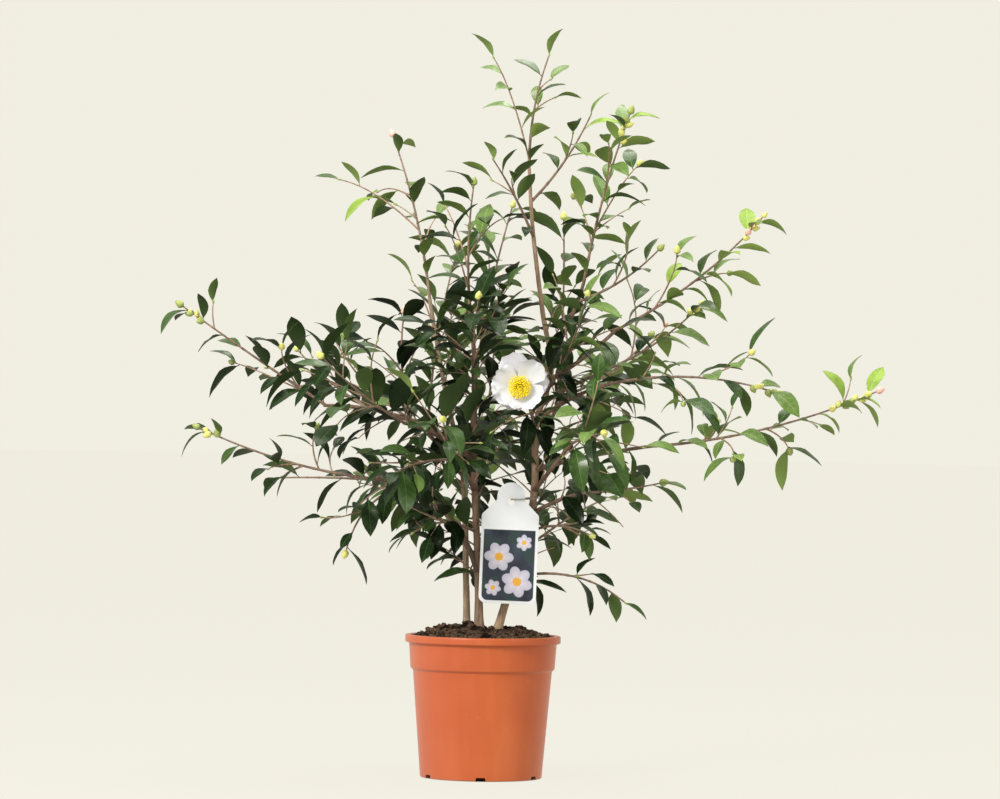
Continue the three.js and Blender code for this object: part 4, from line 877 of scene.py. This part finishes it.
# Radius at the root and tip, and corners, of shoots, forks, side twigs and finer ones.
twig_sizes = [(1.85, 0.85, 10), (1.15, 0.65, 8), (1.0, 0.55, 7), (0.62, 0.42, 6)]
twig_stacks = {"old": [], "young": []}
for number, (rod, level) in enumerate(twigs):
    root, tip, corners = twig_sizes[level]
    run = run_of(rod)
    fine = np.linspace(0, run[-1], max(4, int(run[-1] / 4)))
    route = np.stack([np.interp(fine, run, rod[:, axis]) for axis in range(3)], -1)
    swell = 1 + 0.22 * np.exp(-(((fine + number) % 15 - 7.5) / 1.7) ** 2)
    radii = np.linspace(root, tip, len(route)) * swell
    twig_stacks["old" if level == 0 else "young"].append(tube(route, radii, corners))
twig_barks = {
    "old": bark("twig_brown", (0.082, 0.048, 0.032), (0.25, 0.17, 0.115), 1),
    "young": bark("twig_reddish", (0.13, 0.068, 0.042), (0.35, 0.24, 0.15), 1, 0.45),
}
shoot_names = [row[0] for row in shoots]
for age, stacks in twig_stacks.items():
    twig_piece = make_piece("twigs_" + age, stacks, [twig_barks[age]], crease=60)
    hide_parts(*shoot_names)

# ---------------------------------------------------------------------------------------
# Leaves: leathery pointed ovals on short stalks, folded up along a pale midrib, arched and
# drooping at the tip, glossy above and matt below. Five greens are dealt out by shoot and
# reach, with some chance: partly by the leaves' age and partly as painted light and shade, so
# the darkest, shaded ones lie only inside the crown and fresher ones towards the tips.


def smoothly(low, high, value):
    """0 below low, 1 above high and 3t^2 - 2t^3 between."""
    share = np.clip((value - low) / (high - low), 0, 1)
    return share * share * (3 - 2 * share)


def laid(place, *parts):
    """The points of bodies at their places: each part adds an amount along a direction."""
    return place[:, None, None] + sum(
        amount[..., None] * way[:, None, None] for amount, way in parts)


def blades(place, heading, up, side, length, width, arch, droop, fold, twist, wave):
    """Leaves as rings of seven corners, six above and one below the midrib. A stalk carries a
    blade whose half width grows with s^0.8 (1-s)^0.8, drawn in at the tip. The height is
    length (4 arch t (1-t) - droop t^2), plus fold (|o| - 0.45 o^2) half across, plus a wave
    at the edge. The blade turns about its midrib by twist (t - 0.3)."""
    t = np.array([0, 0.085, 0.125, 0.2, 0.33, 0.47, 0.61, 0.74, 0.85, 0.935, 1])[None, :, None]
    length, width, arch, droop, fold, twist, wave = (
        np.reshape(value, (-1, 1, 1)) for value in (length, width, arch, droop, fold, twist, wave)
    )
    s = np.clip((t - 0.085) / 0.915, 0, 1)
    outline = s**0.8 * (1 - s) ** 0.8 / 0.33 * (1 - 0.3 * smoothly(0.78, 1, s))
    half = np.maximum(length * width / 2 * outline, np.where(t < 0.5, 0.65, 0.2))
    rib = np.minimum(0.5 * (1 - 0.5 * t), 0.4 * half) / half
    one = np.ones_like(rib)
    out = np.concatenate([-one, -0.55 * one, -rib, rib, 0.55 * one, one, 0 * one], -1)
    under = np.array([0, 0, 0, 0, 0, 0, 1.0])
    stalk = 1 - smoothly(0.06, 0.2, t)
    centre = length * (arch * 4 * t * (1 - t) - droop * t**2)
    waves = np.sin(11 * t + 3 * np.sign(out)) * out**2 * smoothly(0.1, 0.3, t)
    across = out * half
    lift = fold * half * (np.abs(out) - 0.45 * out**2) + wave * half * waves
    lift = lift + (0.12 + 0.4 * stalk) * (1 - np.abs(out)) * (1 - under)
    lift = lift - (0.35 + 0.3 * stalk) * under
    cos, sin = np.cos(twist * (t - 0.3)), np.sin(twist * (t - 0.3))
    return laid(
        place, (t * length, heading), (across * cos - lift * sin, side),
        (centre + lift * cos + across * sin, up))


def upper_side(name, base, rib, shine):
    """The waxed top of a leaf: pale side veins that run out and forward from the midrib, on a
    blotched and gently uneven skin. Some leaves have more wax, and so a paler sheen."""
    made, place, chart = start_finish(name)
    out = (chart.axis("X") * 7 - 2.5).math("ABSOLUTE")
    vein = (chart.axis("Y") * 8.5 - out * 0.55).math("PINGPONG", 0.5).between(0, 0.3)
    skin = place.noise(75, 2)
    pale = [min(1, part * 1.5 + 0.004) for part in base]
    blotched = skin.between(0.3, 0.75).mix(base, pale)
    return end_finish(
        made, ((vein * -1 + 1) * 0.18).mix(blotched, rib), 0.33 + skin * 0.16, skin, 0.16,
        Specular_IOR_Level=0.02 + 0.24 * shine, Specular_Tint=(0.9, 1, 0.72), Coat_Roughness=0.15,
        Coat_Weight=place.noise(24, 1).between(0.46, 0.66) * shine,
    )


def plain_side(name, base, rough):
    """A plain finish of one colour with a faint grain, for undersides, ribs and thin parts."""
    made, place, _ = start_finish(name)
    return end_finish(
        made, base, rough + place.noise(60, 2) * 0.15, place.noise(500, 2), 0.3, 0.0005,
        Specular_IOR_Level=0.14, Specular_Tint=(0.9, 1, 0.75))


greens = {  # the blade's colour, its midrib's, its underside's, and its shine
    "shaded": ((0.0014, 0.0056, 0.001), (0.018, 0.034, 0.009), (0.008, 0.017, 0.005), 0.15),
    "deep": ((0.005, 0.016, 0.003), (0.04, 0.068, 0.018), (0.024, 0.043, 0.012), 0.34),
    "mid": ((0.019, 0.047, 0.008), (0.09, 0.14, 0.038), (0.066, 0.108, 0.03), 0.6),
    "bright": ((0.068, 0.12, 0.024), (0.19, 0.26, 0.075), (0.15, 0.22, 0.055), 0.6),
    "fresh": ((0.15, 0.235, 0.036), (0.3, 0.37, 0.11), (0.22, 0.3, 0.075), 0.25),
}
place, heading, up, side, length, owner, _, _, at_tip = map(np.array, zip(*leaves))
count = len(place)
draw = np.random.default_rng(31)
tips = np.array([routes[0][-1] for routes in guides])
# Painted light and shade: shoots that end further right and higher, and leaves further from the
# crown's middle, get lighter greens; the darkest, shaded green only goes to leaves inside.
shoot_light = (
    0.3 + 0.2 * np.clip(tips[:, 0] / 380, -1, 1) + 0.28 * (tips[:, 2] - 450) / 450
    + draw.uniform(-0.12, 0.12, len(guides))
)
centre_reach = np.linalg.norm((place - (10, 0, 440)) / (430, 300, 420), axis=1)
light = shoot_light[owner] + 0.55 * (centre_reach - 0.52) + draw.uniform(-0.38, 0.29, count)
kind = np.digitize(light, [0.04, 0.27, 0.54, 0.94])
kind = np.where(centre_reach > 0.44, np.maximum(kind, 1), kind)  # the darkest only inside
width = draw.uniform(0.34, 0.46, count)
arch = draw.uniform(0.04, 0.13, count)
droop = draw.uniform(0.02, 0.28, count) * (1 - 0.6 * at_tip)  # less at a twig's end
twist = draw.uniform(-0.55, 0.55, count)
rings = blades(
    place, heading, up, side, length, width, arch, droop,
    fold=draw.uniform(0.2, 0.62, count), twist=twist, wave=draw.uniform(0.02, 0.1, count),
)
for number, (green, (base, rib, under, shine)) in enumerate(greens.items()):
    finishes = [
        upper_side("leaf_" + green, base, rib, shine), plain_side("midrib_" + green, rib, 0.42),
        plain_side("underside_" + green, under, 0.5),
    ]
    bands = (0, 0, 1, 0, 0, 2, 2)
    leaf_piece = make_piece("leaves_" + green, [rings[kind == number]], finishes, bands, crease=80)
    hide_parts(*shoot_names)

# ---------------------------------------------------------------------------------------
# Buds: fat flower buds of overlapping scales stand at the ends of the main twigs, most of
# them yellow or green and a few flushed with pink. Slender leaf buds end the other twigs.


def budlike(place, way, length, radius, draw, corners=12, steps=13, scales=3.2):
    """Buds: rings of radius sin(pi t^0.72)^0.75 (1 - 0.12 t) about an axis, so the tip is
    pointed. Each scale's edge is a step in a saw of height 0.12 that climbs as it goes round."""
    way = unit(way)
    level = unit(np.cross(way, (0.3, 0.8, 0.5)))
    t = np.linspace(0.015, 0.985, steps)[None, :, None]
    angle = np.linspace(0, 2 * np.pi, corners, endpoint=False)[None, None]
    phase = draw.uniform(0, 2 * np.pi, (len(place), 1, 1))
    profile = np.sin(np.pi * t**0.72) ** 0.75 * (1 - 0.12 * t)
    climb = np.abs(np.cos(1.5 * angle + phase + 2.1 * np.floor(scales * t)))
    tile = (scales * t + 0.32 * climb) % 1
    reach = np.reshape(radius, (-1, 1, 1)) * profile * (1 + 0.12 * (0.5 - tile))
    return laid(
        place, (np.reshape(length, (-1, 1, 1)) * t, way), (reach * np.cos(angle), level),
        (reach * np.sin(angle), np.cross(way, level)))


def bud_skin(name, base, edge):
    """A bud's scales: plain, with a papery brown edge here and there and a soft sheen."""
    made, place, _ = start_finish(name)
    brown = place.noise(210, 3, 0.6).between(0.6, 0.72)
    return end_finish(
        made, brown.mix(base, edge), 0.42 + brown * 0.3, place.noise(600, 3), 0.35, 0.0005)


bud_kinds = {
    "yellow": bud_skin("bud_yellow", (0.55, 0.55, 0.15), (0.34, 0.2, 0.07)),
    "green": bud_skin("bud_green", (0.25, 0.31, 0.075), (0.22, 0.14, 0.05)),
    "pink": bud_skin("bud_pink", (0.72, 0.4, 0.33), (0.36, 0.16, 0.1)),
}
tips, ways, fat = map(np.array, zip(*bud_tips))
ways = unit(ways)
feet = tips - ways * 0.8  # each is set a little into its twig
draw = np.random.default_rng(41)
fat_kind = draw.choice(["yellow", "green", "pink"], fat.sum(), p=[0.66, 0.24, 0.1])
fat_length = draw.uniform(9, 13, fat.sum())
for name, finish in bud_kinds.items():
    chosen = fat_kind == name
    length = fat_length[chosen]
    fat_buds = budlike(feet[fat][chosen], ways[fat][chosen], length, length * 0.38, draw)
    bud_piece = make_piece("flower_buds_" + name, [fat_buds], [finish], crease=75)
    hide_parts(*shoot_names)
length = draw.uniform(5.5, 8.5, (~fat).sum())
slim_buds = budlike(feet[~fat], ways[~fat], length, length * 0.2, draw, 7, 8, 2.4)
slim_piece = make_piece("leaf_buds", [slim_buds], [bud_kinds["green"]], crease=75)
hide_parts(*shoot_names)

# ---------------------------------------------------------------------------------------
# Bloom: one open flower of nine broad, waved, notched white petals in two layers, round a
# dense brush of stamens with yellow anthers, on a green calyx.

bloom_middle = np.array([39, -112, 485.0])
bloom_facing = unit(np.array([0.03, -0.96, -0.2]))
bloom_right = unit(np.cross((0, 0, 1), bloom_facing))
bloom_up = np.cross(bloom_facing, bloom_right)
bloom_boss = bloom_middle - bloom_up * 6 - bloom_facing * 2


def petal(turn, reach, half_wide, start, lean, droop, draw):
    """A petal as rings round a thin sheet. At a share t of its reach and o of its half width
    it lies reach t (1 - 0.2 o^2 t^3) out, less a notch at the rim's middle, and forward by
    start + lean t^1.3 - droop t^3 + a cupped edge 0.16 o^2, with waves that grow outwards."""
    t = np.linspace(0.05, 1, 20)[:, None]
    o = np.concatenate([np.linspace(1, -1, 15), np.linspace(-1, 1, 15)])[None]
    skin = np.repeat([1, -1], 15)[None] * 0.26 * (1 - 0.7 * o**2)
    half = half_wide * np.minimum(1, 1.25 * t**0.62) * (1 - 0.2 * smoothly(0.6, 1, t))
    notch = 0.06 * reach * t**8 * np.exp(-((o / 0.17) ** 2))
    away = reach * t * (1 - 0.2 * o**2 * t**3) - notch
    phase = draw.uniform(0, 2 * np.pi, 3)
    away = away + t**6 * (np.sin(8 * o + phase[2]) + 0.5 * np.sin(19 * o + phase[0]))
    forward = start + lean * t**1.3 - droop * t**3 + 0.16 * half * o**2 * (1 - 0.4 * t)
    forward = forward + 2.3 * t**2 * np.sin(3.2 * o + phase[0])
    forward = forward + 1.5 * t**4 * np.sin(7.5 * o + phase[1])
    forward = forward + 0.9 * t**5 * np.sin(12 * o + phase[2])
    out = bloom_right * math.cos(turn) + bloom_up * math.sin(turn)
    beside = bloom_up * math.cos(turn) - bloom_right * math.sin(turn)
    return laid(
        bloom_boss[None], (away, out[None]), (half * o, beside[None]),
        (forward + skin, bloom_facing[None]))


draw = np.random.default_rng(51)
petals = []
for number in range(8):
    turn = math.radians(45 * number + 12 + draw.uniform(-6, 6))
    inner = number % 2
    reach = 35.5 + 5.5 * math.sin(turn) - 2.5 * inner + draw.uniform(-2, 2)
    petals.append(petal(turn, reach, 19, 1.2 * inner, 3 + 5.5 * inner, 3 * (1 - inner), draw))
petals.append(petal(math.radians(243), 35, 16, -1, -1, 9, draw))
petal_skin, place, chart = start_finish("petal_white")
flush = chart.axis("Y").between(0.35, 1) * place.noise(55, 3).between(0.42, 0.7) * 0.6
veining = place.noise(900, 2)
end_finish(
    petal_skin, flush.mix((0.64, 0.655, 0.69), (0.58, 0.47, 0.58)), 0.5 + veining * 0.1,
    place.noise(220, 3) + veining * 0.4, 0.25, Sheen_Weight=0.15)
petal_piece = make_piece("bloom_petals", petals, [petal_skin], crease=70)

filaments, golden_angle = 190, 2.39996
spin = np.arange(filaments) * golden_angle
from_middle = np.sqrt((np.arange(filaments) + 0.5) / filaments)
splay = from_middle * math.radians(46) + draw.uniform(-0.08, 0.08, filaments)
around = np.cos(spin)[:, None] * bloom_right + np.sin(spin)[:, None] * bloom_up
filament_root = bloom_boss + bloom_facing * 1.5 + around * (from_middle * 5.5)[:, None]
filament_way = np.cos(splay)[:, None] * bloom_facing + np.sin(splay)[:, None] * around
filament_length = 14.5 - 3.5 * from_middle**2 + draw.uniform(-1.5, 1.2, filaments)
filament_end = filament_root + filament_way * filament_length[:, None]
filament_stack = np.concatenate([
    tube(np.linspace(root, end, 3), [0.42, 0.34, 0.24], 5)
    for root, end in zip(filament_root, filament_end)
])
stamen_skin = plain_side("filament_yellow", (1, 0.9, 0.17), 0.5)
anther_skin = plain_side("anther_yellow", (1, 0.79, 0.03), 0.7)
stamen_piece = make_piece("bloom_stamens", [filament_stack], [stamen_skin])
anthers = budlike(
    filament_end - filament_way * 0.6, filament_way, draw.uniform(2, 2.8, filaments), 0.85,
    draw, corners=6, steps=6, scales=1)
anther_piece = make_piece("bloom_anthers", [anthers], [anther_skin], crease=70)
calyx_foot = bloom_boss - bloom_facing * 8.5
calyx = budlike(calyx_foot[None], bloom_facing[None], 11, 7, draw, 28, 22, 4)
calyx_piece = make_piece("bloom_calyx", [calyx], [bud_kinds["green"]], crease=75)
for part in (petal_piece, stamen_piece, anther_piece, calyx_piece):
    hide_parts("shoot_bloom")

# ---------------------------------------------------------------------------------------
# Tag: a thin white plastic plate with a narrow round head and a hole. Its lower part has a
# printed panel of small plain blossoms and leaves, and the band above it is bare.

tag_width, tag_thick, tag_foot, tag_lean = 70, 0.8, (28.5, -30, 214), math.radians(1.4)
shoulder, neck_foot, head_middle, head_radius = 111, 127, 131, 17
panel_half, panel_foot, panel_top, panel_corner = 31.5, 3.5, 90, 7
hole_height, hole_radius = 124, 4.25


def arc(middle_x, middle_z, radius, first, last, count):
    """Points round a circle, from the first angle to the last in degrees."""
    angle = np.radians(np.linspace(first, last, count))
    return np.stack([middle_x + radius * np.cos(angle), middle_z + radius * np.sin(angle)], -1)


half = tag_width / 2
right_side = np.concatenate([
    [(0, 0), (13, 0)], arc(half - 9, 9, 9, -90, 0, 10), [(half, 40), (half, 75)],
    arc(half - 5, shoulder - 5, 5, 0, 45, 6),
    arc(head_radius + 5.5, neck_foot + 1.5, 5.5, 225, 180, 6),
    arc(0, head_middle, head_radius, 0, 90, 14),
])
outline = np.concatenate([right_side, right_side[-2:0:-1] * (-1, 1)])
outline = np.concatenate([
    np.linspace(a, b, max(1, round(np.linalg.norm(b - a) / 3)), endpoint=False)
    for a, b in zip(outline, np.roll(outline, -1, 0))
])
ray = outline - (0, hole_height)
reach = np.linalg.norm(ray, axis=1)[:, None]
rim, inset = np.full_like(reach, hole_radius), 0.3
spans = [rim + inset, rim + 0.33 * (reach - rim), rim + 0.66 * (reach - rim), reach - inset]
spans = np.concatenate([*spans, reach, reach, *spans[::-1], rim, rim], 1)
depth = tag_thick / 2 * np.array([-1, -1, -1, -1, -0.5, 0.5, 1, 1, 1, 1, 0.5, -0.5])
local_x = ray[:, :1] / reach * spans
local_z = ray[:, 1:] / reach * spans + hole_height
bend = 1.1 * (local_x / half) ** 2 * (local_z / shoulder - 0.5)
tag = np.stack([
    tag_foot[0] + local_x * math.cos(tag_lean) + local_z * math.sin(tag_lean),
    tag_foot[1] + depth + bend,
    tag_foot[2] - local_x * math.sin(tag_lean) + local_z * math.cos(tag_lean),
], -1)[None]

tag_plain, place, _ = start_finish("tag_white")
tag_card = (0.8, 0.82, 0.86)
end_finish(tag_plain, tag_card, 0.32 + place.noise(90, 2) * 0.1, place.noise(60, 2), 0.1)
tag_print, place, _ = start_finish("tag_printed")
spot = place.stretch(1000, 1000, 1000)
world_x = spot.axis("X") - tag_foot[0]
world_z = spot.axis("Z") - tag_foot[2]
x = world_x * math.cos(tag_lean) - world_z * math.sin(tag_lean)
z = world_x * math.sin(tag_lean) + world_z * math.cos(tag_lean)


def inside(distance):
    """1 where a signed distance in millimetres is below zero, with a soft edge."""
    return distance.between(0.35, -0.35)


def flat_shape(middle_x, middle_z, radius, turn, lobes, depth):
    """Signed distance to a rosette: radius (1 - depth + depth |cos(lobes a / 2 + turn)|)."""
    away_x, away_z = x - middle_x, z - middle_z
    distance = (away_x * away_x + away_z * away_z) ** 0.5
    angle = away_z.math("ARCTAN2", away_x)
    lobe = (angle * (lobes / 2) + turn).math("COSINE").math("ABSOLUTE")
    return distance - (lobe * depth + (1 - depth)) * radius


corner_x = (x.math("ABSOLUTE") - (panel_half - panel_corner)).math("MAXIMUM", 0)
corner_z = (z * -1 + (panel_foot + panel_corner)).math("MAXIMUM", 0)
rounding = (corner_x * corner_x + corner_z * corner_z) ** 0.5 - panel_corner
panel = inside(rounding.math("MAXIMUM", z - panel_top))
clouds = spot.noise(0.035, 3)
tone = clouds.between(0.3, 0.7).mix((0.018, 0.022, 0.036), (0.05, 0.064, 0.09))
for middle_x, middle_z, radius, turn in (  # leaves
    (-21, 74, 14, 0.4), (6, 84, 11, 1.9), (24, 62, 13, 0.9), (-22, 24, 12, 2.6), (4, 10, 13, 1.2),
    (25, 28, 11, 0.1),
):
    leafy = flat_shape(middle_x, middle_z, radius, turn, 2, 0.72)
    tone = (inside(leafy) * 0.8).mix(tone, (0.03, 0.058, 0.052))
for middle_x, middle_z, radius, turn in (  # blossoms, each with an eye
    (-12, 57, 18, 0.2), (11, 27, 19, 0.9), (18, 75, 10, 1.5), (-18, 19, 10, 0.6),
):
    bloom_mask = flat_shape(middle_x, middle_z, radius, turn, 6, 0.3)
    petal_tone = bloom_mask.between(-radius, 0).mix((0.76, 0.74, 0.8), (0.5, 0.48, 0.6))
    tone = inside(bloom_mask).mix(tone, petal_tone)
    eye = flat_shape(middle_x, middle_z, radius * 0.3, turn, 9, 0.2)
    tone = inside(eye).mix(tone, (0.78, 0.4, 0.05))
end_finish(
    tag_print, panel.mix(tag_card, tone), 0.3 + clouds * 0.06, clouds, 0.05,
    Specular_IOR_Level=0.25)
printed_front = [0] * 3 + [1] * 9
tag_piece = make_piece("plant_tag", [tag], [tag_print, tag_plain], printed_front, loop=True)
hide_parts("tag")

# ---------------------------------------------------------------------------------------
# Tie: a thin grey plastic ring. It goes back through the tag's hole, round the right-hand
# stem, and home past the edge of the tag's head.

tie_radius, tie_gap, tie_height, tie_turns = 0.8, 0.3, 343, 12
hole = np.array([
    tag_foot[0] + hole_height * math.sin(tag_lean), tag_foot[1],
    tag_foot[2] + hole_height * math.cos(tag_lean) + hole_radius - tie_radius - tie_gap,
])
right_route, right_radii = limbs["stem_right"]
tied = root_on("stem_right", tie_height)
stem_radius = np.interp(tie_height, right_route[:, 2], right_radii)
clear = (1.07 * stem_radius + 2 * tie_gap + tie_radius) * 1.04
ahead = unit((hole - tied) * (1, 1, 0))
square = np.array([-ahead[1], ahead[0], 0])
swing = np.pi * np.arange(tie_turns + 1) / tie_turns
behind = tied + clear * (-np.cos(swing)[:, None] * square - np.sin(swing)[:, None] * ahead)
before = hole + (1.25, 2.5, 0.3)
if np.linalg.norm(behind[0] - before) > np.linalg.norm(behind[-1] - before):
    behind = behind[::-1]
face = tag_thick / 2 + tie_radius + tie_gap
ways = np.concatenate([
    [hole, before], behind,
    hole + np.array([(19.5, 0, 0.6), (17, -face - 0.6, 0.6), (2.5, -face - 0.6, 0)]),
])
tie = tube(through(ways, 150, ring=True), np.full(150, tie_radius), 10, loop=True)
tie_skin = plain_side("tie_grey", (0.3, 0.29, 0.27), 0.45)
tie_piece = make_piece("tie", [tie], [tie_skin], loop=True)
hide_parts("tag_tie")

# ---------------------------------------------------------------------------------------
# Studio: a wide pale floor and a cream sky, a large soft lamp high on the left in front, a
# weak one on the right and a third overhead.

floor_mesh = bpy.data.meshes.new("floor")
floor_mesh.from_pydata([(-60, -60, 0), (60, -60, 0), (60, 60, 0), (-60, 60, 0)], [], [(0, 1, 2, 3)])
floor = bpy.data.objects.new("floor", floor_mesh)
floor.location.z = -0.0006
bpy.context.scene.collection.objects.link(floor)
floor_finish, place, _ = start_finish("floor_paper")
lit = place.length().between(0.066, 0.0745)  # no light gets under the pot
end_finish(
    floor_finish, (0.025, 0.025, 0.025), 0.9, Specular_IOR_Level=0,
    Emission_Color=lit.mix((0.01, 0.006, 0.004), (0.845, 0.82, 0.728)),
    Emission_Strength=1)
floor_mesh.materials.append(floor_finish)

sky = bpy.data.worlds.new("studio")
sky.use_nodes = True
sky.node_tree.nodes["Background"].inputs["Color"].default_value = (0.88, 0.855, 0.76, 1)
bpy.context.scene.world = sky
for name, spot_at, size, power in (
    ("key_lamp", (-1.6, -2.2, 2.0), 1.0, 118), ("fill_lamp", (2.2, -1.8, 1.0), 1.2, 14),
    ("top_lamp", (0.2, 0.3, 2.6), 1.6, 50),
):
    lamp = bpy.data.objects.new(name, bpy.data.lights.new(name, "AREA"))
    lamp.data.size = size
    lamp.data.energy = power
    lamp.data.color = (1.0, 0.98, 0.95)
    lamp.location = spot_at
    aim = Vector((0, 0, 0.45)) - lamp.location
    lamp.rotation_euler = aim.to_track_quat("-Z", "Y").to_euler()
    bpy.context.scene.collection.objects.link(lamp)

camera = bpy.data.objects.new("camera", bpy.data.cameras.new("camera"))
camera.location = (0.016, -5.8, 0.430)
aim = (Vector((0.016, 0, 0.463)) - camera.location).to_track_quat("-Z", "Y").to_matrix()
camera.rotation_euler = (aim @ Matrix.Rotation(math.radians(0.95), 3, "Z")).to_euler()
camera.data.sensor_width = 36
camera.data.lens = 170.3
bpy.context.scene.collection.objects.link(camera)
bpy.context.scene.camera = camera
bpy.context.scene.view_settings.view_transform = "Standard"
